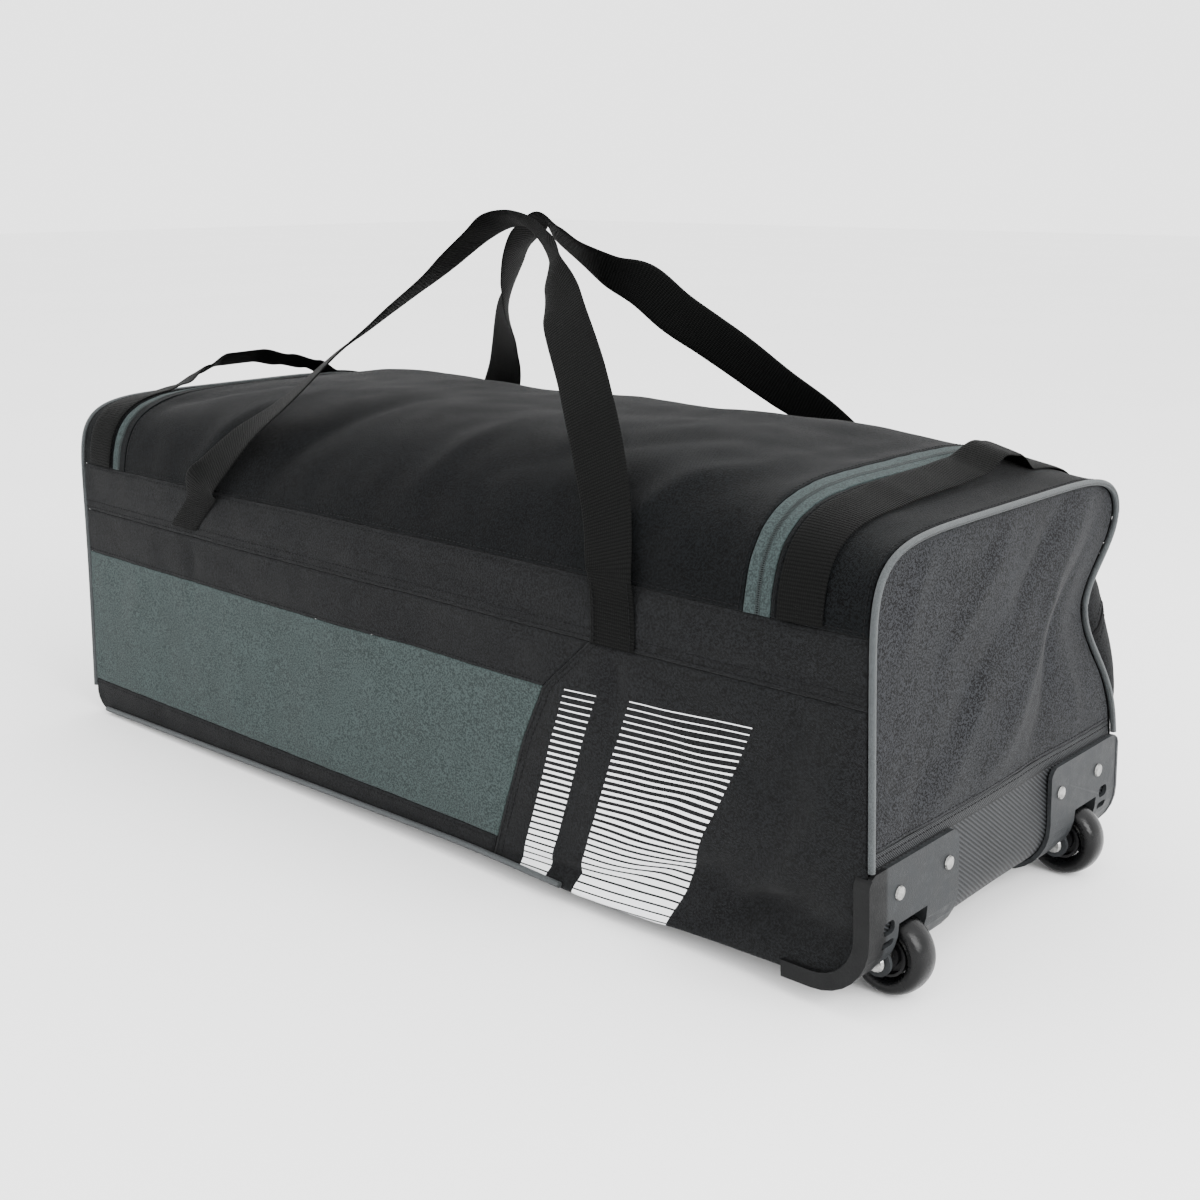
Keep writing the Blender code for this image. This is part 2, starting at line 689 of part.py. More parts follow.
def build_back_zip():
    """Two tapes along the back seam, which join the zips over the ends."""
    x_from = ZIP_FAR_END + ZIP_TAPE + 2 * ZIP_COIL
    x_to = ZIP_WHEEL_END - ZIP_TAPE - 2 * ZIP_COIL
    lower = (BAND_HIGH + SEAM / 2, BAND_HIGH + ZIP_TAPE)
    upper = (BAND_HIGH + ZIP_TAPE + ZIP_COIL, BAND_HIGH + 2 * ZIP_TAPE + ZIP_COIL - SEAM / 2)
    for name, (low, high) in (("zip_back_lower", lower), ("zip_back_upper", upper)):
        rows = side_rows(1, level(x_from), level(x_to), level(low), level(high), even(18), even(1))
        panel(name, rows, "grey_tape", CLOTH)


def rim_point(end, turn, inset):
    """A place (y, z) on an end's outline, inset from the cloth: turn runs as in over_top."""
    square = section_at(end)[1]
    angle = (1 - abs(turn)) * math.pi / 2
    radius = (math.cos(angle) ** square + math.sin(angle) ** square) ** (-1 / square)
    top = crown_height(end * HALF_LENGTH) - inset
    y = (HALF_WIDTH - inset) * radius * math.cos(angle)
    return math.copysign(y, turn), SHOULDER_START + (top - SHOULDER_START) * radius * math.sin(angle)


def end_rows(end, low, columns):
    """Rows across an end from a height to its rounded top, filled in between its four edges."""
    reach = HALF_WIDTH - END_INSET
    side = [(reach, lerp(low, SHOULDER_START, t)) for t in even(4)[:-1]]
    side += [rim_point(end, lerp(1, END_CORNER, t), END_INSET) for t in even(5)]
    top = [rim_point(end, lerp(-END_CORNER, END_CORNER, u), END_INSET) for u in even(columns)]
    corner_y, corner_z = side[-1]
    rows = []
    for i, (side_y, side_z) in enumerate(side):
        v = i / (len(side) - 1)
        row = []
        for u, (top_y, top_z) in zip(even(columns), top):
            across = 2 * u - 1
            y = across * (side_y - v * corner_y) + v * top_y
            z = side_z + v * (top_z - corner_z)
            row.append(end_point(end, y, z))
        rows.append(row)
    return rows


def end_edge(end, low, inset):
    """Points (y, z) of an end's outline from a height on the front, over the top, to the back."""
    reach = HALF_WIDTH - inset
    front = [(-reach, lerp(low, SHOULDER_START, t)) for t in even(4)[:-1]]
    over = [rim_point(end, lerp(-1, 1, t), inset) for t in even(30)]
    back = [(reach, z) for _, z in reversed(front)]
    return front + over + back


def corner_rows(end, radius, run, columns):
    """Rows from the base round an end's lower corner to the vertical part of the end."""
    reach = HALF_WIDTH - END_INSET
    spots = [(HALF_LENGTH - lerp(run, radius, t), 0.0) for t in even(2)]
    for t in even(6)[1:]:
        angle = t * math.pi / 2
        spots.append((HALF_LENGTH - radius * (1 - math.sin(angle)), radius * (1 - math.cos(angle))))
    rows = []
    for x, rise in spots:
        z = base_height(end * x) + rise
        rows.append([dented(Vector((leaned(end * x, z), lerp(-reach, reach, v), z))) for v in even(columns)])
    return rows


def stepped(*discs):
    """A closed profile for turned_mesh: discs as (radius, half width), from the widest to the narrowest."""
    half = [(0, discs[0][1])]
    for i, (radius, reach) in enumerate(discs):
        half.append((radius, reach))
        if i + 1 < len(discs):
            half.append((radius, discs[i + 1][1]))
    return [(radius, -reach) for radius, reach in half] + half[::-1]


def build_ends():
    """Both end panels, the ribbed panel round the wheeled corner, and the base board."""
    panel("wheel_end_panel", end_rows(1, RIBBED_TOP + SEAM / 2, 12), "end_cloth")
    reach = HALF_WIDTH - END_INSET
    ribbed = corner_rows(1, WHEEL_CORNER, RIBBED_RUN, 8)
    foot = base_height(HALF_LENGTH) + WHEEL_CORNER
    for t in even(2)[1:]:
        z = lerp(foot, RIBBED_TOP - SEAM / 2, t)
        ribbed.append([end_point(1, lerp(-reach, reach, v), z) for v in even(8)])
    ribbed_panel = panel("ribbed_panel", ribbed, "ribbed_cloth", CLOTH)
    half = WELL_HALF_WIDTH + BRACKET_WALL + CLEAR
    opening = stepped((BOLT_HEAD + BOLT_ROOM, half + BOLT_SEAT), (WELL_RADIUS + BRACKET_WALL + CLEAR, half))
    for side, name in ((-1, "front"), (1, "back")):
        axle = Vector((AXLE_X, side * AXLE_Y, WHEEL_RADIUS))
        hole = turned_mesh(f"{name}_well_opening", opening, WELL_SIDES)
        cutter = add_cutter(f"{name}_well_opening", hole, axle)
        boolean(ribbed_panel, cutter, "DIFFERENCE")
    far = corner_rows(-1, FAR_CORNER, FAR_CORNER + SEAM, 10)
    far_foot = base_height(-HALF_LENGTH) + FAR_CORNER
    far += end_rows(-1, far_foot, 10)[1:]
    panel("far_end_panel", far, "end_cloth")
    x_far = -HALF_LENGTH + FAR_CORNER + 3 * SEAM
    x_wheel = HALF_LENGTH - RIBBED_RUN - SEAM
    reach = HALF_WIDTH - END_INSET
    base = [
        [Vector((x, y, base_height(x))) for y in (-reach, reach)] for x in (x_far, x_wheel)
    ]
    panel("base_board", base, "ribbed_cloth", BOARD)


def build_piping():
    """Piping round both ends, and along the lower edges of both sides."""
    radius = PIPING / 2
    stand_off = radius + CLEAR
    lows = {1: BRACKET_TOP + LIP, -1: base_height(-HALF_LENGTH) + FAR_CORNER}
    for end, name in ((1, "piping_wheel_end"), (-1, "piping_far_end")):
        line = []
        for y, z in end_edge(end, lows[end], CLOTH / 2):
            line.append(dented(Vector((leaned(end * HALF_LENGTH, z) + end * stand_off, y, z))))
        tube(name, line, radius, "grey_piping")
    x_from = -HALF_LENGTH + FAR_CORNER
    x_back = HALF_LENGTH - BRACKET_RUN - FLANGE
    for side, name, x_to in ((-1, "front", BASE_PIPING_END), (1, "back", x_back)):
        line = []
        for t in even(16):
            x = lerp(x_from, x_to, t)
            z = base_height(x) + radius + CLOTH
            line.append(on_side(x, z, side, stand_off))
        tube(f"piping_base_{name}", line, radius, "grey_piping")


def through(points, count):
    """A smooth curve through points (tuples of numbers), read at even steps."""
    made = []
    spans = len(points) - 1
    for t in even(count):
        place = min(t * spans, spans - TINY)
        i = int(place)
        f = place - i
        p = [points[max(0, min(spans, i + k))] for k in (-1, 0, 1, 2)]
        made.append([
            0.5 * (2 * b + (c - a) * f + (2 * a - 5 * b + 4 * c - d) * f**2 + (3 * b - a - 3 * c + d) * f**3)
            for a, b, c, d in zip(*p)
        ])
    return made


def squared_to_path(centres, wides):
    """Width directions made square to the path and one long."""
    made = []
    for i, wide in enumerate(wides):
        along = (centres[min(i + 1, len(centres) - 1)] - centres[max(i - 1, 0)]).normalized()
        made.append((wide - along * along.dot(wide)).normalized())
    return made


def kept_outside(point, side, out):
    """A point moved across the bag, if it must be, so that it is at least this far off the cloth."""
    surface = on_side(point.x, point.z, side, out)
    return Vector((point.x, side * max(side * point.y, side * surface.y), point.z))


def build_carry_handles():
    """The two long webbing handles, which stand up and meet over the middle of the bag."""
    for name, rows in (("carry_handle_front", FRONT_HANDLE), ("carry_handle_back", BACK_HANDLE)):
        read = through([tuple(row) for row in rows], 68)
        side = math.copysign(1, rows[0].across)
        half = WEBBING / 2
        off = SEAM + WEBBING_THICK / 2
        centres, sewn_wides, free_wides, shares = [], [], [], []
        for reach, across, rise, *wide in read:
            x, z = HANDLE_MIDDLE + HANDLE_SPAN * reach, BAND_LOW + SEAM + HANDLE_RISE * rise
            free = Vector((x, HALF_WIDTH * across, z))
            sewn = [on_side(free.x + step, free.z, side, off) for step in (-half, half)]
            loose = smooth(min(1.0, max(0.0, (free.z - BAND_LOW - HANDLE_SEWN) / HANDLE_SEWN)))
            centres.append(sewn[0].lerp(sewn[1], 0.5).lerp(free, loose))
            sewn_wides.append((sewn[1] - sewn[0]).normalized())
            free_wides.append(sewn_wides[-1].lerp(Vector(wide).normalized(), loose))
            shares.append(loose)
        free_wides = squared_to_path(centres, free_wides)
        edges = []
        for centre, sewn_wide, free_wide, share in zip(centres, sewn_wides, free_wides, shares):
            wide = sewn_wide.lerp(free_wide, share).normalized()
            edges.append([kept_outside(centre + wide * step, side, off) for step in (-half, half)])
        ribbon(name, edges, "black_webbing")


def grab_lift(across, rows):
    """The share of GRAB_RISE that the grab handle stands off the cloth at a place across the bag."""
    for a, b in zip(rows, rows[1:]):
        if a.across <= across <= b.across:
            return lerp(a.lift, b.lift, smooth((across - a.across) / (b.across - a.across)))
    return 0.0


def build_grab_handles():
    """Webbing over each end gusset, raised in its middle so that a hand goes under it."""
    ends = (
        ("grab_handle_wheel_end", GRAB_WHEEL_END, WHEEL_END_GRAB, 0.0),
        ("grab_handle_far_end", GRAB_FAR_END, FAR_END_GRAB, GRAB_TILT),
    )
    for name, x, table, tilt in ends:
        foot = turn_at_height(x, BAND_HIGH + 2 * SEAM)
        rows = []
        for t in even(60):
            turn = lerp(-foot, foot, t)
            step = over_top(x, turn + GRAB_TURN_STEP) - over_top(x, turn - GRAB_TURN_STEP)
            outward = Vector((0, -step.z, step.y)).normalized()
            lift = grab_lift(over_top(x, turn).y / HALF_WIDTH, table)
            off = SEAM + WEBBING_THICK / 2 + GRAB_RISE * lift
            half = GRAB_WIDTH / 2 * (1 - GRAB_GATHER * lift)
            row = []
            for u in even(3):
                way = 2 * u - 1
                row.append(over_top(x + way * half, turn) + outward * (off + way * tilt * lift))
            rows.append(row)
        ribbon(name, rows, "black_webbing")


def build_pocket():
    """The flat pocket on the back: a pouch that bulges from its rim."""
    middle = Vector((POCKET_MIDDLE, 0, (POCKET_LOW + POCKET_HIGH) / 2))
    half_x, half_z = POCKET_LENGTH / 2, (POCKET_HIGH - POCKET_LOW) / 2

    def pouch(u, v):
        """A point of the pouch: u along and v up, from -1 to 1, with round corners."""
        a, b = u * math.sqrt(1 - v * v / 2), v * math.sqrt(1 - u * u / 2)
        a, b = lerp(u, a, POCKET_ROUND), lerp(v, b, POCKET_ROUND)
        x, z = middle.x + half_x * a, middle.z + half_z * b
        full = ((1 - abs(u) ** POCKET_SQUARE_ALONG) * (1 - abs(v) ** POCKET_SQUARE_UP)) ** (
            1 / POCKET_RIM_CURVE)
        rim = on_side(x, z, 1, 2 * SEAM + CLOTH)
        plain = Vector((leaned(x, z), half_width_at(x, z) + POCKET_DEPTH, z))
        return rim.lerp(plain, full)

    across = [2 * t - 1 for t in finer_at_both(20)]
    up = [2 * t - 1 for t in finer_at_both(12)]
    panel("pocket_pouch", [[pouch(u, v) for u in across] for v in up], "black_cloth")


def mirrored(half_profile):
    """A closed profile from its half on the positive side of the wheel's middle plane."""
    return [(radius, -reach) for radius, reach in half_profile] + half_profile[::-1]


def build_wheels():
    """Two wheels of tyre and hub, each on its bolt, with the joint's axis through its origin."""
    half = WHEEL_WIDTH / 2
    rim = HUB_RADIUS + CLEAR
    tyre = mirrored([(rim, half * TYRE[0].half_width)]
                    + [(WHEEL_RADIUS * point.radius, half * point.half_width) for point in TYRE[1:]])
    tyre.insert(len(TYRE), (WHEEL_RADIUS, 0))
    bore = AXLE_RADIUS + CLEAR
    hub = mirrored([(bore, half * HUB[0].half_width)]
                   + [(HUB_RADIUS * point.radius, half * point.half_width) for point in HUB])
    head = WELL_HALF_WIDTH + BRACKET_WALL + CLEAR
    bolt = mirrored([(0, head + BOLT_RISE), (BOLT_HEAD - BOLT_RISE / 2, head + BOLT_RISE),
                     (BOLT_HEAD, head + BOLT_RIM), (BOLT_HEAD, head), (AXLE_RADIUS, head)])
    for side, name in ((-1, "front"), (1, "back")):
        place = Vector((AXLE_X, side * AXLE_Y, WHEEL_RADIUS))
        turned(f"wheel_tyre_{name}", tyre, "black_rubber", place, TYRE_SIDES)
        turned(f"wheel_hub_{name}", hub, "black_plastic", place, HUB_SIDES)
        turned(f"axle_bolt_{name}", bolt, "steel", place, BOLT_SIDES)


def corner_path(offset, top, run, steps=8):
    """The (x, z) line of the wheeled corner at an offset out of the cloth, from base to top."""
    x_start = HALF_LENGTH - run
    line = [(x_start, base_height(x_start) - offset)]
    for t in even(steps):
        ahead, down = math.sin(t * math.pi / 2), math.cos(t * math.pi / 2)
        x = HALF_LENGTH - WHEEL_CORNER * (1 - ahead)
        z = base_height(x) + WHEEL_CORNER * (1 - down)
        line.append((x + offset * ahead, z - offset * down))
    line = [(leaned(x, z), z) for x, z in line]
    line.append((leaned(HALF_LENGTH, top) + offset, top))
    return line


def add_lengthwise_cutter(name, y_from, y_to, low, high, radius):
    """A cutter through the wheeled end along X: a bar with round edges, between sides and heights."""
    left, right = sorted((y_from, y_to))
    corners = ((right - radius, high - radius), (left + radius, high - radius),
               (left + radius, low + radius), (right - radius, low + radius))
    outline = []
    for start, (y, z) in enumerate(corners):
        for t in even(CORNER_STEPS):
            angle = (start + t) * math.pi / 2
            outline.append((y + radius * math.cos(angle), z + radius * math.sin(angle)))
    bar = extruded_mesh(name, outline, -HALF_LENGTH - BRACKET_RUN, BRACKET_RUN * 2 - HALF_LENGTH)
    cutter = add_cutter(name, bar)
    cutter.rotation_euler = (0, 0, math.pi / 2)
    return cutter


def build_brackets():
    """Plastic corner brackets: a curved plate, a flange on the side, and a well with axle ears."""
    near, far = 2 * CLEAR, 2 * CLEAR + BRACKET_WALL
    outer_y = HALF_WIDTH + CLEAR + BRACKET_WALL
    inner_y = outer_y - BRACKET_WIDTH
    middle = lerp(near, far, 0.5)
    plate = corner_path(far, BRACKET_TOP, BRACKET_RUN) + corner_path(near, BRACKET_TOP, BRACKET_RUN)[::-1]
    rim = corner_path(far + LIP, BRACKET_TOP + LIP, BRACKET_RUN + LIP)
    rim += corner_path(-FLANGE, BRACKET_TOP + LIP, BRACKET_RUN + LIP)[::-1]
    inside = corner_path(middle, BRACKET_TOP + WHEEL_CORNER, 2 * BRACKET_RUN)
    inside.append((HALF_LENGTH - 2 * BRACKET_RUN, BRACKET_TOP + WHEEL_CORNER))
    cheek = WELL_HALF_WIDTH + BRACKET_WALL
    wheel_space = stepped((BOLT_HEAD + BOLT_ROOM, cheek + BOLT_SEAT), (AXLE_RADIUS + CLEAR, cheek - LIP / 2),
                          (WELL_RADIUS, WELL_HALF_WIDTH))
    for side, name in ((-1, "front"), (1, "back")):
        axle = Vector((AXLE_X, side * AXLE_Y, WHEEL_RADIUS))
        made = add_object(f"wheel_bracket_{name}", extruded_mesh(
            f"wheel_bracket_{name}", plate, side * inner_y, side * (outer_y - BRACKET_WALL / 2)),
            "black_plastic")
        flange = add_cutter(f"{name}_flange", extruded_mesh(
            f"{name}_flange", rim, side * (HALF_WIDTH + CLEAR), side * outer_y))
        drum = add_cutter(f"{name}_drum", disc_mesh(
            f"{name}_drum", WELL_RADIUS + BRACKET_WALL, -cheek, cheek), axle)
        keep = add_cutter(f"{name}_keep", extruded_mesh(
            f"{name}_keep", inside, side * inner_y, side * outer_y))
        boolean(drum, keep, "INTERSECT")
        ear = add_cutter(f"{name}_ear", disc_mesh(f"{name}_ear", AXLE_EAR, LIP - cheek, cheek - LIP), axle)
        hollow = turned_mesh(f"{name}_wheel_space", wheel_space, WELL_SIDES)
        space = add_cutter(f"{name}_wheel_space", hollow, axle)
        for tool in (flange, drum, ear):
            boolean(made, tool, "UNION")
        boolean(made, space, "DIFFERENCE")
        for i, (low, high) in enumerate(BRACKET_SLOTS):
            window = add_lengthwise_cutter(
                f"{name}_slot_{i + 1}", side * SLOT_INNER_Y, side * (SLOT_INNER_Y + SLOT_WIDTH), low, high,
                (high - low) * SLOT_ROUND)
            boolean(made, window, "DIFFERENCE")
        trim = add_lengthwise_cutter(
            f"{name}_trim", side * (inner_y - LIP), side * (outer_y + LIP), -BRACKET_TOP,
            BRACKET_TOP + LIP / 2, BRACKET_ROUND)
        boolean(made, trim, "INTERSECT")
        build_rivets(side, name, far)


def build_rivets(side, name, face):
    """Two domed rivets on the upper part of a bracket."""
    z = BRACKET_TOP - RIVET_DROP
    dome = [(RIVET_RADIUS * point.radius, RIVET_RISE * point.half_width) for point in RIVET_DOME]
    profile = [(0, 0), *dome, (0, RIVET_RISE)]
    for i in range(2):
        y = side * (HALF_WIDTH - RIVET_EDGE - i * RIVET_SPACING)
        place = Vector((leaned(HALF_LENGTH, z) + face + CLEAR, y, z))
        rivet = turned(f"rivet_{name}_{i + 1}", profile, "steel", place, RIVET_SIDES)
        rivet.rotation_euler = (0, 0, -math.pi / 2)


def main():
    for found in list(bpy.data.objects):
        bpy.data.objects.remove(found)
    bpy.context.scene.collection.children.link(collection)
    bpy.context.scene.collection.children.link(cutters)
    build_front()
    build_back()
    build_top()
    build_ends()
    build_piping()
    build_carry_handles()
    build_grab_handles()
    build_pocket()
    build_wheels()
    build_brackets()


main()
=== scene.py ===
"""The looks of a wheeled cricket kit bag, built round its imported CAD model.

Metres. The shape functions work in the bag's own frame, with its middle at the origin, and add_mesh
moves each piece by ORIGIN_SHIFT into the frame of the CAD model.
"""

import math
from collections import namedtuple

import bpy
import numpy as np
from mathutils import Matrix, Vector, noise


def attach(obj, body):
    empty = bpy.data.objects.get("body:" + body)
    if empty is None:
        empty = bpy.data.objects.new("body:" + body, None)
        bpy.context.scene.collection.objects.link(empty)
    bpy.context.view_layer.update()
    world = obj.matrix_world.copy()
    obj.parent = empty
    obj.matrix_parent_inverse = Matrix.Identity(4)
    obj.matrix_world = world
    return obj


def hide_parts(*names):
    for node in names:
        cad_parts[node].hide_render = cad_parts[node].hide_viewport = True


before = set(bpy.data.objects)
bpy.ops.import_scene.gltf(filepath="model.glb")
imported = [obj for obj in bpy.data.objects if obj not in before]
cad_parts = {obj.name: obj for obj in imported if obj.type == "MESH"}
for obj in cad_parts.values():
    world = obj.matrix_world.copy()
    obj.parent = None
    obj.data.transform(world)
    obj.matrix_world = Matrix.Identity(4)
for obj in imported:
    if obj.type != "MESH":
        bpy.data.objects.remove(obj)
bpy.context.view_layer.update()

# Bag body, as in the CAD model
BAG_LENGTH = 0.865
BAG_WIDTH = 0.33
END_HEIGHT = 0.294
CROWN_RISE = 0.033
SHOULDER_START = 0.18
BASE_LIFT = 0.018
END_LEAN = 0.014
END_BULGE = 0.007
SIDE_SWELL = 0.004
DENT = 0.03
FAR_CORNER = 0.022
WHEEL_CORNER = 0.038
CLOTH = 0.0025
SEAM = 0.0006
JOIN = 0.0001
CLEAR = 0.0004
END_INSET = 0.0028
END_CORNER = 0.5
STRIP_TOP = 0.031
GREY_TOP = 0.157
BAND_LOW = 0.197
BAND_HIGH = 0.240
RIBBED_TOP = 0.107
RIBBED_RUN = 0.105
ZIP_TAPE = 0.0095
ZIP_COIL = 0.0014
ZIP_WHEEL_END = 0.352
ZIP_FAR_END = -0.371
PIPING = 0.0045
BASE_PIPING_END = 0.185
WEBBING = 0.038
WEBBING_THICK = 0.002
HANDLE_MIDDLE = -0.018
HANDLE_SPAN = 0.249
HANDLE_RISE = 0.270
HANDLE_SEWN = 0.028
GRAB_WHEEL_END = 0.385
GRAB_FAR_END = -0.400
GRAB_RISE = 0.026
GRAB_WIDTH = 0.033
GRAB_GATHER = 0.25
POCKET_MIDDLE = 0.047
POCKET_LENGTH = 0.766
POCKET_LOW = 0.065
POCKET_HIGH = 0.218
POCKET_DEPTH = 0.036
POCKET_ROUND = 0.14
WHEEL_RADIUS = 0.0275
WHEEL_WIDTH = 0.024
WHEEL_INSET_X = 0.012
WHEEL_INSET_Y = 0.047
WHEEL_CLEAR = 0.0045
BRACKET_WALL = 0.003
BRACKET_RUN = 0.060
BRACKET_TOP = 0.097
FLANGE = 0.007
BOLT_OPENING = 0.0085
BRACKET_EDGE = 0.0014
BINDING = 0.0095
POCKET_ZIP = 0.052
GRAB_TILT = 0.0065
HALF_LENGTH = BAG_LENGTH / 2
HALF_WIDTH = BAG_WIDTH / 2
AXLE_X = HALF_LENGTH - WHEEL_INSET_X
AXLE_Y = HALF_WIDTH - WHEEL_INSET_Y
ORIGIN_SHIFT = (-0.006625, -0.0148, 0.0)

Section = namedtuple("Section", "along crown square")
SECTIONS = (
    Section(-1.00, 0.10, 6.5),
    Section(-0.84, 0.36, 4.8),
    Section(-0.53, 0.80, 3.4),
    Section(-0.20, 0.84, 3.0),
    Section(0.19, 0.87, 3.0),
    Section(0.55, 0.90, 3.1),
    Section(0.76, 0.54, 4.2),
    Section(1.00, 0.00, 6.2),
)
Slant = namedtuple("Slant", "high along")
SLANT = (
    Slant(-0.190, 0.250),
    Slant(0.000, 0.273),
    Slant(0.253, 0.308),
    Slant(0.506, 0.345),
    Slant(0.759, 0.392),
    Slant(1.000, 0.493),
)
Dent = namedtuple("Dent", "along across high reach_along reach_across reach_high push_x push_y push_z")
DENTS = tuple(Dent(*row) for row in (
    (1, 1, 0.66, 0.11, 0.6, 0.17, -0.5, -0.85, 0),
    (0.84, -1, 0.17, 0.16, 0.5, 0.05, 0, 0.3, 0),
    (0.58, -1, 0.13, 0.14, 0.5, 0.06, 0, 0.16, 0),
    (0.08, -1, 0.56, 0.12, 0.5, 0.12, 0, 0.12, 0),
    (0.5, -1, 0.02, 0.2, 0.4, 0.12, 0, -0.15, -0.1),
    (-0.4, -0.55, 1, 0.12, 0.4, 0.3, 0, 0, -0.16),
    (0.05, -0.2, 1.05, 0.2, 0.6, 0.3, 0, 0, -0.1),
    (-0.1, 1, 0.55, 0.4, 0.5, 0.25, 0, -0.2, 0),
    (1, -0.35, 0.72, 0.2, 0.3, 0.14, -0.22, 0, 0),
    (1, 0.35, 0.55, 0.2, 0.22, 0.2, -0.14, 0, 0),
    (-1, 0.2, 0.6, 0.2, 0.45, 0.22, 0.18, 0, 0),
    (-1, 0, 0.55, 0.1, 3, 0.45, 0.14, 0, 0),
))
# Carry handles: shares of the span, the half width and the rise, and the way the width points
FRONT_HANDLE = (
    (1.02, -1.045, 0, 1, 0, 0),
    (1.02, -1.045, 0.06, 1, 0, 0),
    (1, -1.04, 0.16, 1, 0, 0),
    (0.93, -0.94, 0.32, 1, 0.1, 0.1),
    (0.82, -0.82, 0.47, 1, 0.2, 0.1),
    (0.7, -0.7, 0.6, 1, 0.2, 0.2),
    (0.55, -0.56, 0.73, 0.9, 0.1, 0.3),
    (0.47, -0.47, 0.79, 0.9, -0.1, 0.4),
    (0.4, -0.4, 0.84, 0.8, -0.4, 0.4),
    (0.34, -0.32, 0.89, 0.7, -0.6, 0.3),
    (0.24, -0.24, 0.94, 0.6, -0.7, 0.3),
    (0.12, -0.17, 0.97, 0.4, -0.8, 0.3),
    (0.02, -0.15, 0.97, 0.2, -0.9, 0.3),
    (-0.07, -0.16, 0.93, 0.4, -0.8, 0.3),
    (-0.18, -0.22, 0.85, 0.5, -0.8, 0.3),
    (-0.25, -0.31, 0.78, 0.6, -0.8, 0.2),
    (-0.32, -0.43, 0.7, 0.7, -0.7, 0.2),
    (-0.42, -0.606, 0.59, 0.8, -0.6, 0.1),
    (-0.54, -0.77, 0.46, 0.9, -0.4, 0.1),
    (-0.68, -0.93, 0.33, 0.9, 0, 0.2),
    (-0.8, -1.045, 0.2, 1, 0, 0),
    (-0.9, -1.045, 0.105, 1, 0, 0),
    (-0.985, -1.045, 0.024, 1, 0, 0),
)
BACK_HANDLE = (
    (0.99, 1.045, 0.1, 1, 0, 0),
    (0.98, 1.045, 0.16, 1, 0, 0),
    (0.9, 1.01, 0.27, 1, 0, 0.1),
    (0.76, 0.96, 0.39, 0.9, -0.1, 0.3),
    (0.61, 0.88, 0.48, 0.7, -0.1, 0.7),
    (0.5, 0.79, 0.56, 0.6, 0, 0.8),
    (0.42, 0.68, 0.63, 0.5, 0, 0.8),
    (0.33, 0.575, 0.7, 0.5, 0.1, 0.8),
    (0.25, 0.475, 0.78, 0.6, 0.1, 0.8),
    (0.17, 0.375, 0.82, 0.7, -0.3, 0.6),
    (0.08, 0.29, 0.88, 0.7, -0.6, 0.4),
    (0.03, 0.22, 0.93, 0.6, -0.7, 0.4),
    (-0.01, 0.18, 0.97, 0.5, -0.8, 0.3),
    (-0.06, 0.165, 0.94, 0.3, -0.9, 0.3),
    (-0.13, 0.19, 0.88, 0.3, -0.9, 0.1),
    (-0.19, 0.24, 0.81, 0.4, -0.9, 0),
    (-0.25, 0.3, 0.74, 0.6, -0.8, -0.1),
    (-0.33, 0.4, 0.67, 0.8, -0.5, -0.2),
    (-0.44, 0.56, 0.57, 0.9, -0.2, -0.3),
    (-0.62, 0.8, 0.42, 1, 0, -0.2),
    (-0.8, 0.96, 0.28, 1, 0, -0.1),
    (-0.98, 1.045, 0.16, 1, 0, 0),
    (-0.99, 1.045, 0.1, 1, 0, 0),
)
GrabRow = namedtuple("GrabRow", "across lift")
WHEEL_END_GRAB = (
    GrabRow(-0.50, 0.00),
    GrabRow(-0.34, 0.06),
    GrabRow(-0.10, 0.10),
    GrabRow(0.14, 0.18),
    GrabRow(0.34, 0.50),
    GrabRow(0.44, 0.42),
    GrabRow(0.56, 0.00),
)
FAR_END_GRAB = (
    GrabRow(-0.62, 0.00),
    GrabRow(-0.48, 0.12),
    GrabRow(-0.32, 0.55),
    GrabRow(-0.18, 0.84),
    GrabRow(0.05, 0.86),
    GrabRow(0.24, 0.62),
    GrabRow(0.44, 0.35),
    GrabRow(0.58, 0.00),
)

# Cloth detail: how finely the cloth is cut into faces, and how its sewn edges look
CELL = 0.0042
EDGE_STEPS = (0.0, 0.0007, 0.0016, 0.0028, 0.0045, 0.0070, 0.0105)
EDGE_ROLL = 0.0009
EDGE_ROLL_WIDTH = 0.0022
PUCKER = 0.00055
PUCKER_FADE = 0.007
PUCKER_PITCH = 0.011
WAVE = 0.0024
WAVE_SIZE = 0.085
RIPPLE = 0.0009
RIPPLE_SIZE = 0.028
WALL = 0.0024
BASE_WALL = 0.0028
BASE_CELL = 0.008
BASE_RUN = 0.7
FAR_SEAM = 0.012
WAVE_SEED = 3.1
RIPPLE_SEED = 8.7
PUCKER_SEED = 5.3
FREE_FROM_SEAM = 0.02
FOLD_AT_SEAM = 0.35
RIPPLE_AT_SEAM = 0.4
FOLD_CREST = 1.6
PROFILE_STEPS = 400
MIDDLE_HEIGHT = 0.1
CORE_HEIGHT = SHOULDER_START * 0.8
TINY = 1e-12

